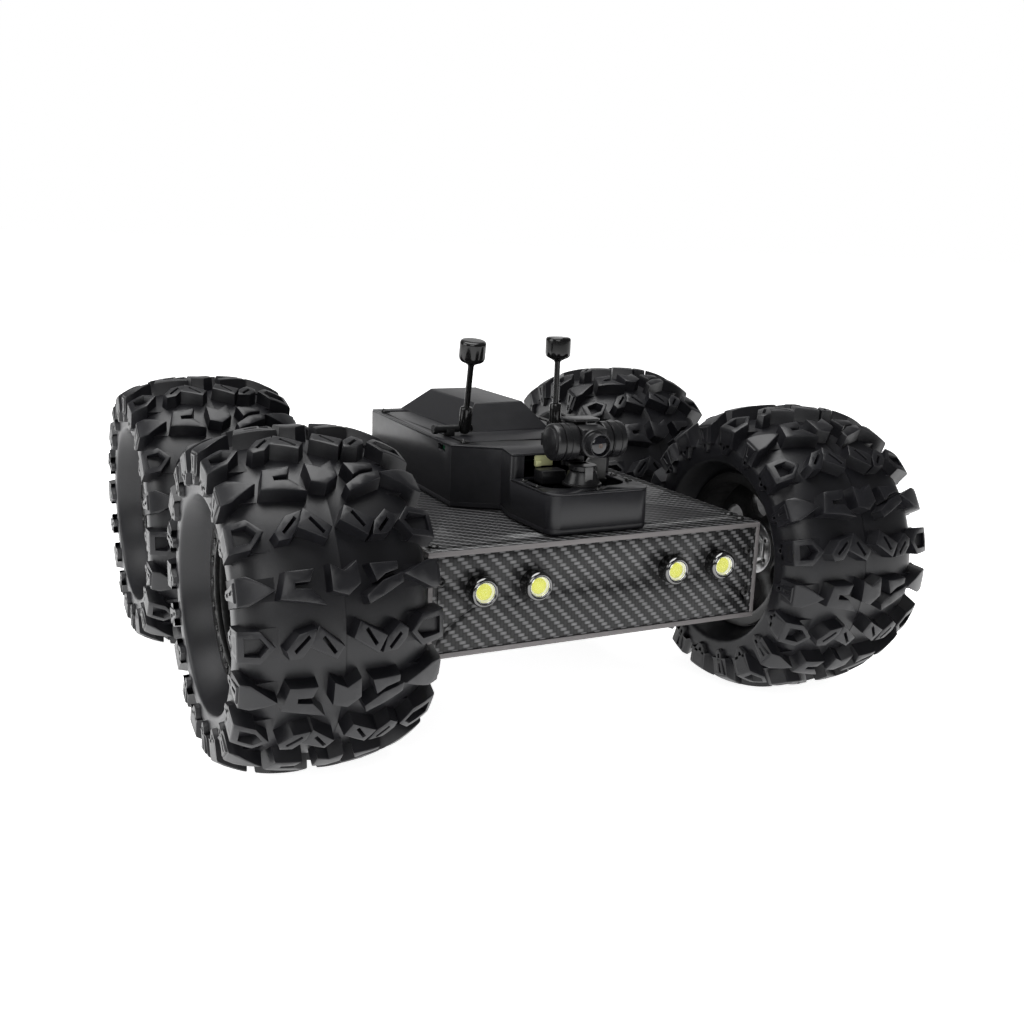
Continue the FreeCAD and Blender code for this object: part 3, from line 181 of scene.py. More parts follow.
def twill_material(name, first, second):
    """Carbon twill under a clear coat. first and second are the axes, 0 to 2, that the tows follow."""
    material, tree, shader = new_material(
        name, Coat_Weight=0.2, Coat_Roughness=0.04, Roughness=0.36, Specular_IOR_Level=0.15)
    split = add(tree, "SeparateXYZ", {0: places(tree)})
    u, v = (maths(tree, "MULTIPLY", split.outputs[k], 1 / (TOW * MM)) for k in (first, second))
    u_cell, v_cell = (maths(tree, "FLOOR", x) for x in (u, v))
    u_part, v_part = (maths(tree, "FRACT", x) for x in (u, v))
    step = maths(tree, "FLOORED_MODULO", maths(tree, "ADD", u_cell, v_cell), TWILL_STEPS)
    on_top = maths(tree, "LESS_THAN", step, 1.5)

    def hump(part):
        """1 in the middle of a tow, 0 at its edges."""
        return maths(tree, "SUBTRACT", 1.0, maths(tree, "POWER", maths(tree, "ABSOLUTE", maths(
            tree, "SUBTRACT", maths(tree, "MULTIPLY", part, 2.0), 1.0)), 3.0))

    def float_height(across, along, start):
        """Height of a tow that floats over two others from step start."""
        part = maths(tree, "MULTIPLY", maths(tree, "ADD", maths(tree, "SUBTRACT", step, start), along), 0.5)
        return maths(tree, "MULTIPLY", hump(across), hump(part))

    first_up, second_up = float_height(v_part, u_part, 0.0), float_height(u_part, v_part, 2.0)
    height = add(tree, "Mix", {0: on_top, 2: second_up, 3: first_up}).outputs[0]
    streaks = []
    for axis in (first, second):
        stretch = tuple(0.05 if k == axis else 1 for k in range(3))
        streaks.append(noise(tree, 900.0, 2.0, stretch))
    fibre = add(tree, "Mix", {0: on_top, 2: streaks[1], 3: streaks[0]}).outputs[0]
    # Painted highlight: the middle of each tow is lightened in the base colour as painted sheen, and the tows
    # on top are painted lighter than those beneath as a painted reflection; the fibre streaks are real grain.
    lit = maths(tree, "MULTIPLY", height, maths(tree, "ADD", fibre, 0.35))
    highlit_tow_colour = mixed(tree, lit, grey(0.004), grey(0.16, 0.02))
    shaded_tow_colour = mixed(tree, lit, grey(0.002), grey(0.018, 0.05))
    tree.links.new(mixed(tree, on_top, shaded_tow_colour, highlit_tow_colour), shader.inputs["Base Color"])
    bump = add(tree, "Bump", {"Height": height, "Strength": 0.5, "Distance": 0.08 * MM})
    tree.links.new(bump.outputs[0], shader.inputs["Normal"])
    return material


def lens_material(name, tint, **constants):
    """Clear moulded lens, thin enough to be mostly see-through."""
    material, tree, shader = new_material(
        name, Base_Color=tint, Coat_Weight=0.3, Coat_Roughness=0.02, Specular_IOR_Level=0.5, **constants)
    cloud = noise(tree, 220.0)
    tree.links.new(between(tree, cloud, 0.02, 0.07), shader.inputs["Roughness"])
    return material


def make_materials():
    return {
        "rubber": textured("tyre_rubber", grey(0.003, 0.3), grey(0.008, 0.3), (0.34, 0.52), 900.0, 0.05,
                           Specular_IOR_Level=0.4),
        "twill_xz": twill_material("carbon_twill_front", 0, 2),
        "twill_xy": twill_material("carbon_twill_deck", 0, 1),
        "twill_yz": twill_material("carbon_twill_side", 1, 2),
        "cut_edge": textured("carbon_cut_edge", (0.095, 0.088, 0.088, 1), (0.17, 0.16, 0.16, 1), (0.5, 0.75),
                             1500.0, 0.06, stretch=(0.2, 0.2, 4.0)),
        "anodised": textured("black_anodised", grey(0.006, 0.2), grey(0.011, 0.2), (0.34, 0.5), 2600.0, 0.02,
                             Specular_IOR_Level=SATIN),
        "gimbal": textured("gimbal_black", grey(0.005, 0.1), grey(0.010, 0.1), (0.26, 0.42), 2200.0, 0.015,
                           Specular_IOR_Level=SATIN),
        "black_screw": textured("black_oxide_screw", grey(0.008), grey(0.02), (0.25, 0.5), 1800.0, 0.02,
                                Metallic=0.4),
        "black_chrome": textured("black_chrome", grey(0.12), grey(0.17), (0.06, 0.14), 900.0, 0.004,
                                 Metallic=1.0),
        "silver": textured("silver_ring", grey(0.62), grey(0.8), (0.12, 0.25), 1500.0, 0.006, Metallic=1.0),
        "aluminium": textured("bare_aluminium", grey(0.48), grey(0.66), (0.3, 0.46), 1800.0, 0.02,
                              stretch=(0.1, 1, 1), Metallic=1.0),
        "steel": textured("brushed_steel", grey(0.36), grey(0.5), (0.22, 0.4), 1500.0, 0.015,
                          stretch=(0.08, 1, 1), Metallic=1.0),
        "rim_black": textured("rim_black_nylon", grey(0.007), grey(0.013), (0.3, 0.45), 1400.0, 0.03),
        "antenna": textured("antenna_gloss", grey(0.004), grey(0.007), (0.12, 0.2), 700.0, 0.006,
                            Specular_IOR_Level=0.3, Coat_Weight=0.15, Coat_Roughness=0.05),
        "battery": textured("battery_wrap", (0.01, 0.03, 0.12, 1), (0.02, 0.06, 0.2, 1), (0.25, 0.4), 500.0,
                            0.1),
        "board": textured("circuit_board", (0.005, 0.05, 0.02, 1), (0.01, 0.09, 0.04, 1), (0.3, 0.5), 3000.0,
                          0.05),
        "clear_lens": lens_material("lamp_clear_lens", (0.95, 0.97, 0.96, 1), Alpha=0.06),
        "camera_glass": lens_material("camera_glass", (0.002, 0.002, 0.004, 1)),
        # Painted glow: the phosphor's emission stands in for light reaching it under the lens.
        "phosphor": textured("lamp_phosphor_painted_glow", (0.55, 0.56, 0.008, 1), (0.62, 0.62, 0.015, 1), (0.4, 0.6),
                             250.0, 0.01,
                             Emission_Color=(0.55, 0.56, 0.01, 1), Emission_Strength=0.12),
        # Painted glow: the reflector's emission stands in for light falling into the lamp cup.
        "reflector": textured("lamp_reflector_painted_glow", grey(0.75), grey(0.86), (0.2, 0.35), 900.0, 0.02,
                              Metallic=0.6, Emission_Color=grey(0.8), Emission_Strength=0.2),
        "pad": textured("foam_pad", (0.55, 0.56, 0.28, 1), (0.66, 0.67, 0.36, 1), (0.6, 0.8), 1500.0, 0.1),
        "iris": textured("camera_iris", (0.05, 0.028, 0.02, 1), (0.08, 0.045, 0.03, 1), (0.3, 0.45), 1500.0,
                         0.02),
        "tab": textured("grey_tab", grey(0.08), grey(0.12), (0.4, 0.55), 1500.0, 0.03),
    }


MATERIALS = make_materials()


# ---------------------------------------------------------------- mesh helpers
def finish_piece(bm, name, body, material, replaces=(), sharp=32):
    """Make a piece from a bmesh in millimetres that rides on a CAD body."""
    bmesh.ops.recalc_face_normals(bm, faces=bm.faces)
    bmesh.ops.scale(bm, vec=(MM, MM, MM), verts=bm.verts)
    mesh = bpy.data.meshes.new(name)
    bm.to_mesh(mesh)
    bm.free()
    return place_piece(smoothed(mesh, sharp), name, body, material, replaces)


def smoothed(mesh, sharp):
    mesh.polygons.foreach_set("use_smooth", [True] * len(mesh.polygons))
    mesh.set_sharp_from_angle(angle=math.radians(sharp))
    return mesh


def place_piece(mesh, name, body, material, replaces=()):
    piece = bpy.data.objects.new(name, mesh)
    bpy.context.scene.collection.objects.link(piece)
    if not mesh.materials:
        mesh.materials.append(MATERIALS[material])
    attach(piece, body)
    if replaces:
        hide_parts(*replaces)
    return piece


def dress(node, *materials, bevel=0.35, choose=None):
    """Show a CAD node with eased edges and its material, or the material that choose names for a face."""
    item = frame["nodes"][node]
    item.data.materials.clear()
    for material in materials:
        item.data.materials.append(MATERIALS[material])
    for face in item.data.polygons:
        face.material_index = choose(face.normal) if choose else 0
        face.use_smooth = True
    weld = item.modifiers.new("weld", "WELD")
    weld.merge_threshold = WELD_GAP * MM
    if bevel:
        ease = item.modifiers.new("ease", "BEVEL")
        ease.width = bevel * MM
        ease.segments = EASE_SEGMENTS
        ease.limit_method = "ANGLE"
        ease.angle_limit = math.radians(EASE_ANGLE)
        ease.harden_normals = True
    return item


def turned_to(axis, spot):
    """Matrix that stands +Z along axis at spot."""
    turn = UP.rotation_difference(Vector(axis)).to_matrix().to_4x4()
    return Matrix.Translation(Vector(spot)) @ turn


def ring(bm, matrix, radius, height, steps, hexed=False):
    """Loop of points round Z. A hexed ring follows a hexagon with that inner radius."""
    points = []
    for step in range(steps):
        angle = math.tau * step / steps
        reach = radius / math.cos(angle % (math.tau / 6) - math.tau / 12) if hexed else radius
        points.append(bm.verts.new(matrix @ Vector((reach * math.cos(angle), reach * math.sin(angle),
                                                    height))))
    return points


def join_loops(bm, first, second):
    count = len(first)
    for k in range(count):
        after = (k + 1) % count
        bm.faces.new((first[k], first[after], second[after], second[k]))


def close_loop(bm, loop, spot):
    centre = bm.verts.new(spot)
    for k, vert in enumerate(loop):
        bm.faces.new((vert, loop[(k + 1) % len(loop)], centre))


def lathe(bm, profile, matrix, steps=48, looped=False):
    """Turn a profile of (radius, height) or (radius, height, "hex") points about matrix's Z."""
    loops = []
    for radius, height, *hexed in profile:
        if radius > 0:
            loops.append(ring(bm, matrix, radius, height, steps, bool(hexed)))
        else:
            loops.append(matrix @ Vector((0, 0, height)))
    pairs = list(zip(loops, loops[1:]))
    if looped:
        pairs.append((loops[-1], loops[0]))
    for first, second in pairs:
        if isinstance(first, Vector):
            close_loop(bm, second, first)
        elif isinstance(second, Vector):
            close_loop(bm, first, second)
        else:
            join_loops(bm, first, second)


def slab(bm, outline, low, high, ease=0.4, matrix=None):
    """Upright prism over an outline of (x, y) points, with eased edges."""
    matrix = matrix or Matrix()
    bottom = [bm.verts.new(matrix @ Vector((x, y, low))) for x, y in outline]
    top = [bm.verts.new(matrix @ Vector((x, y, high))) for x, y in outline]
    count = len(outline)
    faces = [bm.faces.new(list(reversed(bottom))), bm.faces.new(top)]
    faces += [bm.faces.new((bottom[k], bottom[(k + 1) % count], top[(k + 1) % count],
                            top[k])) for k in range(count)]
    edges = list({edge for face in faces for edge in face.edges})
    if ease:
        bmesh.ops.bevel(bm, geom=edges, offset=ease, segments=EASE_SEGMENTS, affect="EDGES",
                         profile=0.5)


def brick(bm, low, high, ease=0.4, matrix=None):
    corners = [(low[0], low[1]), (high[0], low[1]), (high[0], high[1]), (low[0], high[1])]
    slab(bm, corners, low[2], high[2], ease, matrix)


def interpolated(points, x):
    """Straight-line reading of a table of (x, y) points in rising x."""
    for (x0, y0), (x1, y1) in zip(points, points[1:]):
        if x <= x1:
            return y0 + (y1 - y0) * max(0.0, (x - x0) / (x1 - x0))
    return points[-1][1]


def curved(points, steps=4):
    """Smooth line through the points."""
    line = []
    for k in range(len(points) - 1):
        before, start = points[max(k - 1, 0)], points[k]
        end, after = points[k + 1], points[min(k + 2, len(points) - 1)]
        for step in range(steps):
            t = step / steps
            line.append(tuple(
                0.5 * (2 * b + (c - a) * t + (2 * a - 5 * b + 4 * c - d) * t * t
                       + (3 * b - a - 3 * c + d) * t ** 3)
                for a, b, c, d in zip(before, start, end, after)))
    return line + [points[-1]]


# ---------------------------------------------------------------- tyres
TYRE_RADIUS = middle_of("rim_front_left").z
TYRE_HALF = (box_of("tyre_front_left")[1].x - box_of("tyre_front_left")[0].x) / 2
CROWN_DROP = 12.9
LUG_REPEATS = 10
LUG_ROOT = 1.5  # how deep a lug starts inside the carcass
SIDE_ARC = 80.0  # radius at which the side lugs' arc lengths are true
LUG_FACE = TYRE_HALF - 0.15
CARCASS = [(0, 90.5), (14, 90.2), (28, 88.9), (40, 86.0), (47.5, 81.5), (51.6, 76.5), (53.4, 72.5),
           (53.5, 65)]
CONE = [(53.5, 65), (52.9, 63.4), (51.0, 62.0), (45.0, 59.2), (38.5, 56.6), (34.6, 54.9)]
BEAD = [(34.2, 53.0), (34.0, 49.8), (27.0, 49.8), (27.0, 54.0), (34.0, 58.0), (45.0, 66.0), (45.5, 73.0),
        (40.0, 79.5), (25.0, 84.6)]

# Tread blocks over half a pitch each, as (millimetres across the tyre, degrees round it).
# An outline comes first and its recesses follow.
BLOCK_ROW = [
    [[(-56, -5.2), (-46, -5.2), (-39, 0), (-46, 5.2), (-56, 5.2)],
     [(-53, -3.0), (-45.8, -3.0), (-42, 0), (-45.8, 3.0), (-53, 3.0)]],
    [[(-33.5, 1.2), (-27, -3.6), (-18.5, -4.9), (-19.5, -1.5), (-26, 3.6), (-32, 3.9)],
     [(-29.8, 1.2), (-22.5, -3.2), (-21.6, -2.3), (-28.9, 2.1)]],
    [[(-17, -5.6), (-4, 1.2), (-8, 4.9), (-22, 0.3)],
     [(-15.6, -1.9), (-14.2, -2.6), (-8.0, 2.6), (-9.4, 3.3)]],
    [[(5, -5.6), (19.5, -0.4), (14.5, 4.7), (1.2, -0.8)],
     [(7.4, -2.9), (8.8, -3.6), (14.2, 1.6), (12.8, 2.3)]],
    [[(19.6, 0.4), (27, -3.6), (32, -1.4), (31, 1.2), (25.5, 4.5), (17.2, 4.7)],
     [(20.6, 3.2), (27.0, -0.9), (28.0, 0.0), (21.6, 4.1)]],
    [[(56, -5.2), (56, 5.2), (41, 5.2), (34, 0), (41, -5.2)],
     [(53, -3.0), (53, 3.0), (41.4, 3.0), (37.2, 0), (41.4, -3.0)]],
]
CLAW_ROW = [
    [[(-55, -4.7), (-50, -4.7), (-37.5, 0.6), (-50, 4.7), (-55, 4.7)]],
    [[(-31.5, -4.4), (-17.5, -4.4), (-20, -0.9), (-27.5, -0.9), (-27.5, 0.9), (-19.5, 1.4), (-12.5, 6.4),
      (-23, 4.9), (-35, 3.6)]],
    [[(-8.5, -5.2), (-1.5, -2.9), (5.5, -5.6), (6.5, 1.0), (-0.5, 4.2), (-8.5, 2.6)]],
    [[(12.5, -4.4), (28, -4.4), (28, -2.2), (20.5, -1.1), (15.5, 0.9)]],
    [[(9.5, 5.0), (19, 1.0), (30.5, -0.9), (30.5, 1.9), (20, 5.0), (10.5, 7.4)]],
    [[(55, -4.7), (55, 4.7), (49, 4.7), (32, -0.6), (49, -4.7)]],
]
# Side lugs as (radius, millimetres of arc).
LOOP_LUG = [[(86.5, -6.6), (86.5, 6.6), (77.5, 6.2), (69.5, 0.6), (69.5, -3.6), (74.5, -6.6)],
            [(84.6, -4.2), (84.6, 4.2), (79.8, 3.4), (79.8, -4.2)],
            [(77.0, -4.0), (77.0, 1.6), (72.2, -0.9), (72.2, -2.6)]]
HOOK_LUG = [[(86.5, -4.6), (86.5, 4.6), (78.0, 3.2), (71.0, 2.6), (69.2, 0.9), (69.2, -0.9), (71.0, -2.6),
             (78.0, -3.2)],
            [(85.0, -1.9), (85.0, 0.3), (78.6, 0.6), (78.6, -0.9)],
            [(76.4, -1.2), (76.4, 1.2), (72.0, 1.0), (72.0, -1.0)]]
WALL_STEPS = ((1.7, 0.0), (0.8, 0.14), (0.3, 0.92), (0.08, 0.98), (-0.35, 1.0))
RECESS_FLOOR = 0.22


def anticlockwise(points):
    area = sum(a[0] * b[1] - b[0] * a[1] for a, b in zip(points, points[1:] + points[:1]))
    return points if area > 0 else list(reversed(points))


def widened(points, distance):
    """Anticlockwise outline with every side moved out by distance."""
    moved = []
    for k, (x, y) in enumerate(points):
        back, ahead = points[k - 1], points[(k + 1) % len(points)]
        into = Vector((x - back[0], y - back[1])).normalized()
        out = Vector((ahead[0] - x, ahead[1] - y)).normalized()
        normal = Vector((into.y + out.y, -into.x - out.x)) / max(1 + into.dot(out), 0.35)
        moved.append((x + normal.x * distance, y + normal.y * distance))
    return moved


def loop_at(bm, points, height):
    return [bm.verts.new((x, y, height)) for x, y in points]


def cap(bm, loops):
    """Fill the first loop, leaving out the others."""
    flat = [[Vector((v.co.x, v.co.y, 0)) for v in loop] for loop in loops]
    verts = [v for loop in loops for v in loop]
    for triangle in tessellate_polygon(flat):
        bm.faces.new([verts[k] for k in triangle])


def add_lug(bm, outline, *recesses):
    """Rubber block with sloping walls, a rounded top edge and recesses. Height runs from 0 to 1."""
    outline = anticlockwise(outline)
    walls = [loop_at(bm, widened(outline, out), height) for out, height in WALL_STEPS]
    for lower, upper in zip(walls, walls[1:]):
        join_loops(bm, lower, upper)
    mouths = []
    for recess in recesses:
        recess = anticlockwise(recess)
        steps = ((0.15, 1.0), (-0.1, 0.96), (-0.3, RECESS_FLOOR))
        loops = [loop_at(bm, widened(recess, out), height) for out, height in steps]
        for upper, lower in zip(loops, loops[1:]):
            join_loops(bm, upper, lower)
        cap(bm, [loops[-1]])
        mouths.append(loops[0])
    cap(bm, [walls[-1]] + mouths)


def flat_length(edge):
    return (edge.verts[0].co.xy - edge.verts[1].co.xy).length


def split_long(bm, longest=4.5, rounds=2):
    """Split long edges, so that flat drawings bend smoothly round the tyre."""
    for _ in range(rounds):
        long = [edge for edge in bm.edges if flat_length(edge) > longest]
        bmesh.ops.subdivide_edges(bm, edges=long, cuts=1)
    bmesh.ops.triangulate(bm, faces=[face for face in bm.faces if len(face.verts) > 4])


def carcass_radius(x):
    return interpolated(CARCASS[:-2], abs(x))


def sidewall_reach(radius):
    falling = [(r, x) for x, r in reversed(CARCASS)]
    return interpolated(falling, radius)


def on_tread(vert, turn):
    """Bend a point (across, arc, height share) onto the tread."""
    across, arc, share = vert
    across = max(-LUG_FACE, min(LUG_FACE, across))
    foot = carcass_radius(across) - LUG_ROOT
    crown = TYRE_RADIUS - 0.05 - CROWN_DROP * abs(across / TYRE_HALF) ** 3
    radius = foot + (crown - foot) * share
    angle = arc / TYRE_RADIUS + turn
    return Vector((across, -radius * math.sin(angle), radius * math.cos(angle)))


def on_side(vert, turn, side):
    """Put a point (radius, arc, height share) onto the sidewall."""
    radius, arc, share = vert
    foot = sidewall_reach(radius) - LUG_ROOT
    reach = foot + (LUG_FACE - foot) * share
    angle = arc / SIDE_ARC + turn
    return Vector((side * reach, -radius * math.sin(angle), radius * math.cos(angle)))


def bend_copies(bm, pattern, turns, bend):
    """Add one bent copy of a flat pattern for each turn."""
    for turn in turns:
        copies = {vert: bm.verts.new(bend(vert.co, turn)) for vert in pattern.verts}
        for face in pattern.faces:
            bm.faces.new([copies[vert] for vert in face.verts])


def flat_pattern(lugs, to_arc):
    pattern = bmesh.new()
    for outline, *recesses in lugs:
        shapes = [[(x, to_arc(y)) for x, y in shape] for shape in [outline] + recesses]
        add_lug(pattern, *shapes)
    split_long(pattern)
    return pattern


def tyre_mesh():
    """Carcass, tread and side lugs of one tyre, about its own centre."""
    bm = bmesh.new()
    half = curved(CARCASS) + curved(CONE)[1:] + BEAD
    seam = [(0.5, 90.5), (0.3, 90.75)]
    section = [(r, x) for x, r in seam + half[1:]]
    section = section + [(r, -x) for r, x in reversed(section)]
    lathe(bm, section, turned_to(LEFT, (0, 0, 0)), steps=120, looped=True)
    pitch = math.tau / LUG_REPEATS
    to_arc = math.radians(1) * TYRE_RADIUS
    for lugs, side_lug, start in ((BLOCK_ROW, LOOP_LUG, 0.0), (CLAW_ROW, HOOK_LUG, pitch / 2)):
        turns = [start + pitch * k for k in range(LUG_REPEATS)]
        bend_copies(bm, flat_pattern(lugs, lambda degrees: degrees * to_arc), turns, on_tread)
        side_pattern = flat_pattern([side_lug], lambda arc: arc)
        for side in (-1, 1):
            bend_copies(bm, side_pattern, turns, lambda point, turn, side=side: on_side(point, turn, side))
    bmesh.ops.recalc_face_normals(bm, faces=bm.faces)
    bmesh.ops.scale(bm, vec=(MM, MM, MM), verts=bm.verts)
    mesh = bpy.data.meshes.new("tyre_rubber")
    bm.to_mesh(mesh)
    bm.free()
    return smoothed(mesh, 34)


# How far each tyre is turned from a block at its top, in degrees.
LUG_PHASE = {"front_left": 4.75, "front_right": 15.3, "rear_left": 0.0, "rear_right": 18.0}


def make_tyres():
    mesh = tyre_mesh()
    for wheel in WHEELS:
        middle = middle_of(f"rim_{wheel}")
        middle.x = middle_of(f"tyre_{wheel}").x
        turned = mesh.copy()
        turned.transform(
            Matrix.Translation(middle * MM) @ Matrix.Rotation(math.radians(LUG_PHASE[wheel]), 4, "X"))
        place_piece(turned, f"lugged_tyre_{wheel}", f"wheel_{wheel}", "rubber",
                    [f"tyre_{wheel}"])


# ---------------------------------------------------------------- fasteners
def screw_place(points):
    """(seat, direction the head faces, head radius, whole length) of a screw's points."""
    low, high = extent(points)
    size = high - low
    axis = max(range(3), key=lambda k: size[k])
    middle = (low + high) / 2
    across = [k for k in range(3) if k != axis]

    def reach(end):
        near = [p for p in points if abs(p[axis] - end) < 0.05]
        return max(math.hypot(*(p[k] - middle[k] for k in across)) for p in near)

    side = 1 if reach(high[axis]) > reach(low[axis]) else -1
    facing = Vector(tuple(side if k == axis else 0 for k in range(3)))
    tip = middle.copy()
    tip[axis] = high[axis] if side > 0 else low[axis]
    return tip, facing, size[across[0]] / 2, size[axis]


def add_button_screw(bm, tip, facing, radius, length):
    """Domed head with a hexagonal socket, on its shank."""
    height, shank, key = radius * 0.58, radius * 0.52, radius * 0.42
    dome = [(radius * math.cos(a), height * (0.25 + 0.75 * math.sin(a)) - height)
            for a in (0.0, 0.3, 0.6, 0.85)]
    profile = [(0, -length), (shank, -length), (shank, -height), (radius * 0.97, -height)] + dome
    profile += [(key * 1.15, -0.02, "hex"), (key, -0.12, "hex"), (key, -height * 0.75, "hex"),
                (0, -height * 0.8)]
    lathe(bm, profile, turned_to(facing, tip), steps=24)


def add_flat_screw(bm, tip, facing, radius, length):
    """Countersunk head with a hexagonal socket."""
    shank, key = radius * 0.5, radius * 0.36
    profile = [(0, -length), (shank, -length), (shank, -radius * 0.5), (radius, -0.12), (radius, 0),
               (key * 1.12, 0, "hex"), (key, -0.1, "hex"), (key, -radius * 0.4, "hex"), (0, -radius * 0.42)]
    lathe(bm, profile, turned_to(facing, tip), steps=24)


NUT_BORE = 4.1
NUT_SMALLEST = 6  # a fastener wider than this every way is a wheel nut


def add_nut(bm, points):
    low, high = extent(points)
    middle = (low + high) / 2
    outboard = 1 if middle.x > 0 else -1
    height, inner = high.x - low.x, (high.z - low.z) / 2
    start = Vector((low.x if outboard > 0 else high.x, middle.y, middle.z))
    matrix = turned_to((outboard, 0, 0), start)
    profile = [(NUT_BORE, 0), (inner * 0.96, 0), (inner, 0.5, "hex"), (inner, height - 0.7, "hex"),
               (inner * 0.93, height), (NUT_BORE + 0.4, height), (NUT_BORE, height - 0.4)]
    lathe(bm, profile, matrix, steps=36, looped=True)


def make_fasteners():
    wheel_sets = [(f"wheel_fasteners_{wheel}", f"wheel_{wheel}") for wheel in WHEELS]
    for node, body in [("chassis_screws", "chassis"), ("module_screws", "chassis")] + wheel_sets:
        bm = bmesh.new()
        for points in islands(node):
            low, high = extent(points)
            if min(high - low) > NUT_SMALLEST:
                add_nut(bm, points)
                continue
            tip, facing, radius, length = screw_place(points)
            countersunk = facing.z < -0.5
            (add_flat_screw if countersunk else add_button_screw)(bm, tip, facing, radius, length)
        finish_piece(bm, f"detailed_{node}", body, "black_screw", [node], sharp=30)


# ---------------------------------------------------------------- lamps
def make_lamps():
    """Profiles are (radius, height in front of the bezel's face)."""
    kinds = {
        "bezels": ("black_chrome", "black_anodised", "lamp_bodies", [
            (0, -34.4), (7.8, -34.4), (7.9, -9.4), (9.0, -9.4), (9.0, -3.2), (8.9, -1.9), (8.55, -0.9),
            (8.0, -0.3), (7.3, 0.0), (6.75, -0.2), (6.4, -0.8), (6.4, -3.9), (0, -3.9)]),
        "rings": ("silver", "steel", None, [
            (5.75, -1.2), (5.9, -0.8), (6.1, -0.65), (6.3, -0.8), (6.34, -1.5), (5.75, -1.5)]),
        "reflectors": ("reflector", "steel", None, [
            (0, -3.7), (6.2, -3.7), (6.2, -1.55), (5.7, -1.55), (5.4, -2.2), (5.0, -2.9), (0, -2.9)]),
        "phosphors": ("phosphor", "lamp_emitter", "lamp_emitters", [
            (0, -2.88), (4.9, -2.88), (4.8, -2.5), (4.0, -2.2), (2.2, -2.05), (0, -2.0)]),
        "domes": ("clear_lens", "lamp_glass", "lamp_lenses", [
            (0, -0.6), (6.33, -0.6), (6.33, -0.45), (5.6, 0.0), (4.4, 0.5), (2.6, 0.95), (0, 1.1)]),
    }
    for name, (material, slot, node, profile) in kinds.items():
        bm = bmesh.new()
        for points in islands("lamp_bodies"):
            low, high = extent(points)
            spot = ((low.x + high.x) / 2, low.y, (low.z + high.z) / 2)
            lathe(bm, profile, turned_to(FRONT, spot), steps=64, looped=profile[0][0] > 0)
        finish_piece(bm, f"lamp_{name}", "chassis", material, [node] if node else (), sharp=40)


# ---------------------------------------------------------------- gimbal camera
TILT_AXIS = joint_point("camera_tilt")
ALONG_X = Matrix(((0, 0, 1, 0), (1, 0, 0, 0), (0, 1, 0, 0), (0, 0, 0, 1)))  # drawn (y, z), raised along x


def make_tilt_motors():
    """Profiles are (radius, distance to the left of the tilt axis's middle)."""
    bm = bmesh.new()
    left = [(0, -24.3), (8.2, -24.3), (8.6, -24.1), (9.0, -23.6), (10.6, -23.3), (11.2, -22.6), (11.4, -21.6),
            (11.4, -19.0), (11.0, -18.8), (11.0, -18.35), (0, -18.35)]
    right = [(0, 15.55), (11.0, 15.55), (11.0, 16.0), (11.4, 16.2), (11.4, 20.6), (11.0, 20.8), (11.0, 21.2),
             (11.4, 21.4), (11.4, 24.0), (10.9, 25.0), (9.3, 25.4), (8.8, 25.9), (8.2, 26.0), (0, 26.0)]
    for profile in (left, right):
        lathe(bm, profile, turned_to(LEFT, TILT_AXIS), steps=72)
    finish_piece(bm, "tilt_motor_drums", "pan_head", "gimbal", ["tilt_motors"], sharp=30)


def make_yoke():
    low = box_of("pan_yoke")[0] - TILT_AXIS
    bm = bmesh.new()
    hub = [(0, low.z), (8.2, low.z), (8.7, low.z + 0.5), (8.7, low.z + 3.0), (8.3, low.z + 3.5),
           (0, low.z + 3.5)]
    lathe(bm, hub, turned_to(UP, TILT_AXIS), steps=48)
    shift = Matrix.Translation(TILT_AXIS)
    brick(bm, (-6, 0, low.z + 1.0), (6, 13.6, low.z + 3.5), 0.5, shift)
    brick(bm, (-8, 11.6, low.z + 1.0), (8, 13.6, 12.4), 0.5, shift)
    brick(bm, (-22.9, 11.7, -4), (24.6, 13.5, 4), 0.5, shift)
    roof = [(-10.0, 1.2), (-7.6, -1.6), (9.0, -1.6), (11.4, 1.2), (11.4, 13.4), (-10.0, 13.4)]
    slab(bm, roof, 11.75, 13.2, 0.45, shift)
    finish_piece(bm, "detailed_pan_yoke", "pan_head", "gimbal", ["pan_yoke"], sharp=30)


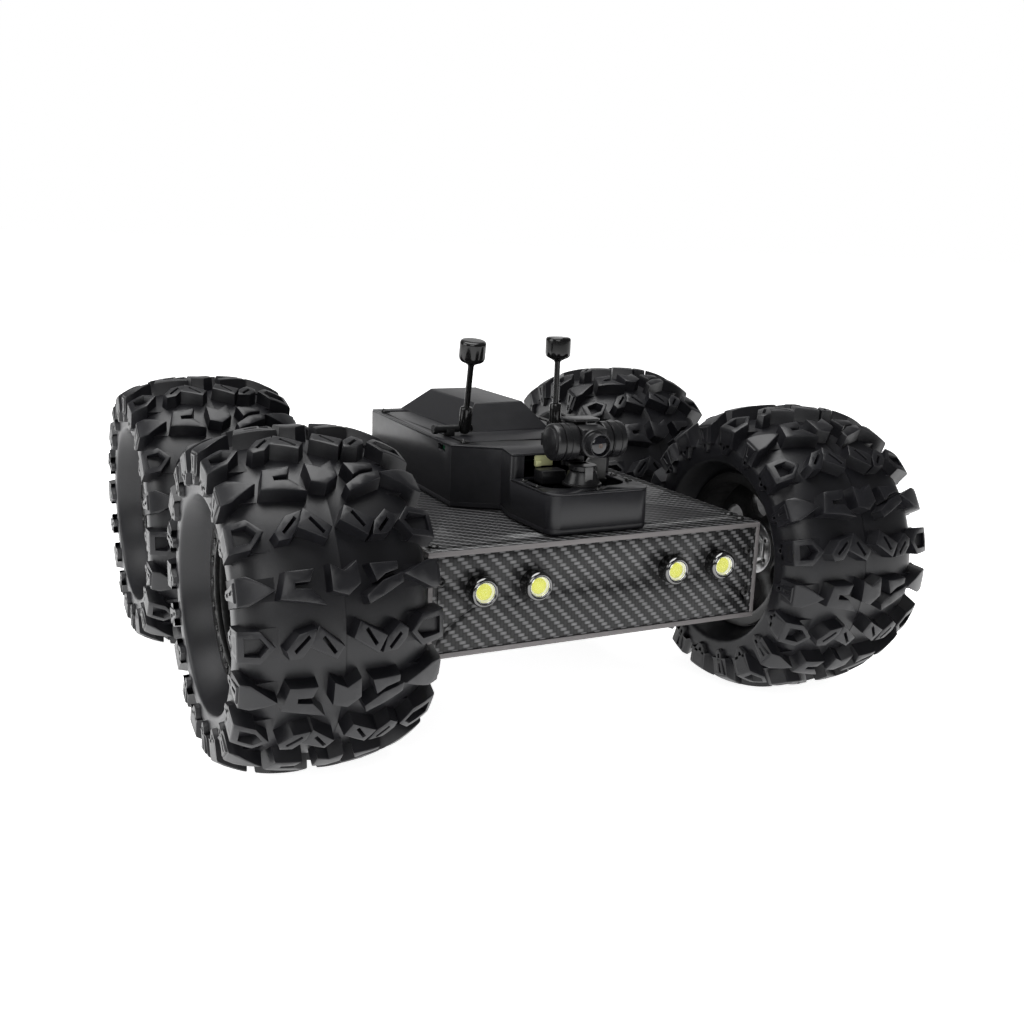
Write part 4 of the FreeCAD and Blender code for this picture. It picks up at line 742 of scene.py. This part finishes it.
def make_camera():
    bm = bmesh.new()
    along = turned_to(LEFT, TILT_AXIS)
    left = [(0, -17.7), (11.0, -17.7), (11.4, -17.3), (11.4, -14.6), (11.0, -14.4), (11.0, -13.9),
            (11.4, -13.7),
            (11.4, -8.8), (10.9, -8.1), (9.6, -8.0), (0, -8.0)]
    right = [(0, 10.1), (9.6, 10.1), (10.9, 10.2), (11.4, 10.8), (11.4, 14.4), (11.0, 14.85), (0, 14.85)]
    core = [(0, -8.1), (9.3, -8.1), (9.6, -7.7), (9.6, 9.8), (9.3, 10.2), (0, 10.2)]
    for profile in (left, right, core):
        lathe(bm, profile, along, steps=72)
    wedge = [(4.0, 9.9), (-3.0, 10.2), (-11.0, 8.4), (-11.0, 0.0), (4.0, 0.0)]
    slab(bm, wedge, -7.4, 9.6, 0.5, Matrix.Translation(TILT_AXIS) @ ALONG_X)
    barrel = [(0, 0), (8.8, 0), (8.8, 12.4), (8.4, 13.0), (7.2, 13.2), (6.9, 13.6), (6.9, 19.55),
              (6.25, 19.6),
              (6.0, 18.5), (4.2, 17.7), (0, 17.7)]
    lathe(bm, barrel, turned_to(FRONT, TILT_AXIS), steps=64)
    finish_piece(bm, "detailed_camera_body", "camera", "gimbal", ["camera_body"], sharp=30)
    for name, material, slot, node, looped, profile in (
            ("camera_front_rim", "anodised", "gimbal_black", None, True,
             [(6.3, 20.2), (6.5, 20.45), (6.95, 20.45), (7.1, 20.2), (7.1, 19.62), (6.3, 19.62)]),
            ("camera_front_glass", "camera_glass", "lamp_glass", "camera_lens", False,
             [(0, 17.8), (5.7, 17.8), (5.7, 18.9), (5.0, 19.4), (3.6, 19.9), (1.8, 20.2), (0, 20.3)]),
            ("camera_iris", "iris", "lamp_glass", None, True,
             [(0.5, 20.2), (0.8, 20.42), (1.3, 20.38), (1.3, 20.1)])):
        piece = bmesh.new()
        lathe(piece, profile, turned_to(FRONT, TILT_AXIS), steps=48, looped=looped)
        finish_piece(piece, name, "camera", material, [node] if node else (), sharp=50)


def make_gimbal_base():
    low = box_of("gimbal_base")[0]
    top = box_of("nose_plate")[1].z
    spot = Vector((TILT_AXIS.x, TILT_AXIS.y, top))
    bm = bmesh.new()
    flange = [(0, 0), (12.3, 0), (12.3, 1.0), (12.0, 1.5), (11.4, 1.7), (10.6, 3.4), (9.7, 6.0), (8.9, 8.4),
              (8.5, 9.0), (0, 9.0)]
    lathe(bm, flange, turned_to(UP, spot), steps=64)
    shift = Matrix.Translation(spot)
    brick(bm, (-6, -7, -2), (6, 26, 0), 0.4, shift)
    brick(bm, (-6, 23, low.z - top), (6, 26, -1.9), 0.4, shift)
    brick(bm, (-20, 14.5, -2), (-3, 26.5, 6.4), 0.8, shift)
    guard = [(11.5, -2), (25.5, -2), (25.5, 12.6), (24.2, 14.0), (13.5, 14.0), (11.5, 11.5)]
    upright = Matrix.Translation(spot + Vector((0, 16.0, 0))) @ Matrix.Rotation(math.pi / 2, 4, "X")
    brick(bm, (5.5, 12, -2), (25.5, 16, 0), 0.3, shift)
    plate = bmesh.new()
    slab(plate, guard, 0, 2.5, 0.4, upright)
    finish_piece(plate, "camera_cable_guard", "chassis", "tab")
    finish_piece(bm, "detailed_gimbal_base", "chassis", "gimbal", ["gimbal_base"], sharp=30)


def make_recess_details():
    """Foam pad and flexible lead's tab behind the camera."""
    pad = bmesh.new()
    brick(pad, (-19.5, -112.4, 167.2), (-6.5, -110.6, 175.0), 0.5)
    brick(pad, (-19.5, -114.0, 167.2), (-15.5, -112.0, 170.8), 0.4)
    finish_piece(pad, "recess_foam_pad", "chassis", "pad")
    tab = bmesh.new()
    brick(tab, (-5.7, -152.1, 163.7), (-0.1, -150.9, 173.2), 0.5)
    finish_piece(tab, "camera_lead_tab", "chassis", "tab")


# ---------------------------------------------------------------- antennas
def make_antenna(side, tilt):
    pivot = joint_point(f"antenna_{side}_swivel")
    outward = 1 if side == "left" else -1
    lean = Matrix.Translation(pivot) @ Matrix.Rotation(math.radians(tilt), 4, "X")
    bm = bmesh.new()
    sleeve = [(0, -4.3), (2.6, -3.4), (3.9, -1.7), (4.3, 0.4), (4.3, 13.4), (3.9, 14.6), (2.8, 15.0),
              (2.0, 15.2)]
    stem = [(2.0, 43.2), (2.3, 44.4), (3.6, 45.2)]
    head = [(5.6, 46.2), (7.2, 46.9), (8.3, 47.9), (8.75, 49.3), (8.8, 50.6), (8.8, 58.6), (8.6, 60.0),
            (7.9, 60.8), (6.4, 61.05), (3.5, 61.1), (0, 61.1)]
    lathe(bm, sleeve + stem + head, lean, steps=48)
    finish_piece(bm, f"detailed_antenna_{side}", f"{side}_antenna", "antenna",
                 [f"antenna_{side}"], sharp=40)
    arm = bmesh.new()
    along = turned_to((outward, 0, 0), (pivot.x, pivot.y, pivot.z))
    edge = max(abs(corner.x) for corner in box_of("antenna_connectors")) - abs(pivot.x)
    swivel = [(0, 4.6), (2.6, 4.6), (2.6, edge - 3.2), (3.2, edge - 3.0), (3.2, edge - 0.4), (2.8, edge),
              (0, edge)]
    lathe(arm, swivel, along, steps=36)
    lathe(arm, [(0, -5.4), (2.3, -5.4), (2.6, -5.1), (2.6, -4.6), (0, -4.6)], along, steps=36)
    saddle = [(8.3, 3), (14.3, 3), (14.3, -3), (8.3, -3)]
    lid = box_of("module_lid")[1].z
    slab(arm, [(pivot.x + outward * x, pivot.y + y) for x, y in saddle], lid, pivot.z, 0.5)
    return arm


def make_antennas():
    whole = bmesh.new()
    for side, tilt in (("left", 0), ("right", 10)):
        arm = make_antenna(side, tilt)
        mesh = bpy.data.meshes.new("arm")
        arm.to_mesh(mesh)
        arm.free()
        whole.from_mesh(mesh)
        bpy.data.meshes.remove(mesh)
    finish_piece(whole, "detailed_antenna_connectors", "chassis", "gimbal",
                 ["antenna_connectors"], sharp=35)


# ---------------------------------------------------------------- carried-over CAD nodes
def dress_plates():
    faces = {"deck_plate": (2, "twill_xy"), "bottom_plate": (2, "twill_xy"),
             "side_plate_left": (0, "twill_yz"),
             "side_plate_right": (0, "twill_yz"), "front_panel": (1, "twill_xz"),
             "rear_panel": (1, "twill_xz")}
    for node, (axis, twill) in faces.items():
        dress(node, twill, "cut_edge", bevel=0.25, choose=lambda normal,
              k=axis: 0 if abs(normal[k]) > 0.9 else 1)


def dress_nodes():
    plain = {
        "anodised": ("module_base", "module_shell", "module_lid", "nose_plate", "lid_cover"),
        "aluminium": ("corner_posts", "motor_brackets"),
        "black_chrome": ("lamp_nuts", "power_switch"),
        "steel": ("power_button",),
        "battery": ("battery_pack",),
        "board": ("motor_driver_board", "main_board"),
    }
    for material, nodes in plain.items():
        for node in nodes:
            dress(node, material, bevel=0.5 if material == "anodised" else 0.3)
    for wheel in WHEELS:
        for part, material, ease in (("gear_motor", "steel", 0.6), ("output_shaft", "steel", 0.2),
                                     ("drive_hub", "aluminium", 0.4), ("rim", "rim_black", 0.6),
                                     ("bead_ring", "rim_black", 0.4)):
            dress(f"{part}_{wheel}", material, bevel=ease)


# ---------------------------------------------------------------- studio
FLOOR_REACH = 30.0  # metres from the middle to each edge


def make_floor():
    mesh = bpy.data.meshes.new("studio_floor")
    corners = [(x * FLOOR_REACH, y * FLOOR_REACH, 0) for x, y in ((-1, -1), (1, -1), (1, 1), (-1, 1))]
    mesh.from_pydata(corners, [], [(0, 1, 2, 3)])
    floor = bpy.data.objects.new("studio_floor", mesh)
    bpy.context.scene.collection.objects.link(floor)
    material, tree, shader = new_material(
        "studio_floor", Roughness=0.9, Specular_IOR_Level=0.1, Emission_Color=grey(1.0),
        Emission_Strength=0.9)
    cloud = noise(tree, 1.5)
    tree.links.new(mixed(tree, cloud, grey(0.86), grey(0.9)), shader.inputs["Base Color"])
    mesh.materials.append(material)


def make_light(name, spot, target, size, power):
    light = bpy.data.lights.new(name, "AREA")
    light.shape = "RECTANGLE"
    light.size, light.size_y = size
    light.energy = power
    item = bpy.data.objects.new(name, light)
    item.matrix_world = looking(Vector(spot), Vector(target) - Vector(spot))
    item.visible_camera = False
    bpy.context.scene.collection.objects.link(item)


def looking(spot, direction):
    return Matrix.Translation(spot) @ direction.to_track_quat("-Z", "Y").to_matrix().to_4x4()


# Each light's name, place, what it points at and size in metres, and power in watts.
STUDIO_LIGHTS = (
    ("top_softbox", (-0.2, 0.1, 1.9), (0, 0, 0.1), (1.8, 1.6), 44),
    ("front_fill", (-1.1, -1.9, 1.2), (0, -0.1, 0.1), (1.4, 1.0), 14),
    ("left_fill", (-2.0, 0.3, 0.9), (0, 0, 0.1), (1.2, 1.2), 16),
    ("backdrop", (1.4, 2.7, 0.9), (0, 0, 0.15), (4.0, 1.8), 12),
)
AMBIENT = 0.14


def make_lights():
    for name, spot, target, size, power in STUDIO_LIGHTS:
        make_light(name, spot, target, size, power)
    world = bpy.data.worlds.new("studio")
    world.use_nodes = True
    tree = world.node_tree
    glow, output = tree.nodes["Background"], tree.nodes["World Output"]
    glow.inputs["Color"].default_value = (1, 1, 1, 1)
    glow.inputs["Strength"].default_value = AMBIENT
    seen = add(tree, "Background", {"Color": (1, 1, 1, 1), "Strength": 1.0})
    path = add(tree, "LightPath")
    mix = add(tree, "MixShader", {0: path.outputs["Is Camera Ray"], 1: glow.outputs[0], 2: seen.outputs[0]})
    tree.links.new(mix.outputs[0], output.inputs["Surface"])
    bpy.context.scene.world = world
    bpy.context.scene.view_settings.view_transform = "Standard"


# The photograph's view, from the camera fitted to it, in metres.
VIEW_SPOT = (-0.37042, -0.76243, 0.30955)
VIEW_FORWARD = (0.446959, 0.865142, -0.227503)
VIEW_ACROSS = (0.891630, -0.451398, 0.035159)
VIEW_LENS = 41.71  # millimetres, on a sensor 36 mm wide


def make_camera_view():
    lens = bpy.data.cameras.new("view")
    lens.sensor_width = 36.0
    lens.lens = VIEW_LENS
    lens.clip_start = 0.01
    camera = bpy.data.objects.new("view", lens)
    forward, across = (Vector(v).normalized() for v in (VIEW_FORWARD, VIEW_ACROSS))
    above = across.cross(forward)
    camera.matrix_world = Matrix.Translation(VIEW_SPOT) @ Matrix((across, above,
                                                                  -forward)).transposed().to_4x4()
    bpy.context.scene.collection.objects.link(camera)
    bpy.context.scene.camera = camera


make_tyres()
make_fasteners()
make_lamps()
make_tilt_motors()
make_yoke()
make_camera()
make_gimbal_base()
make_recess_details()
make_antennas()
dress_plates()
dress_nodes()
make_floor()
make_lights()
make_camera_view()
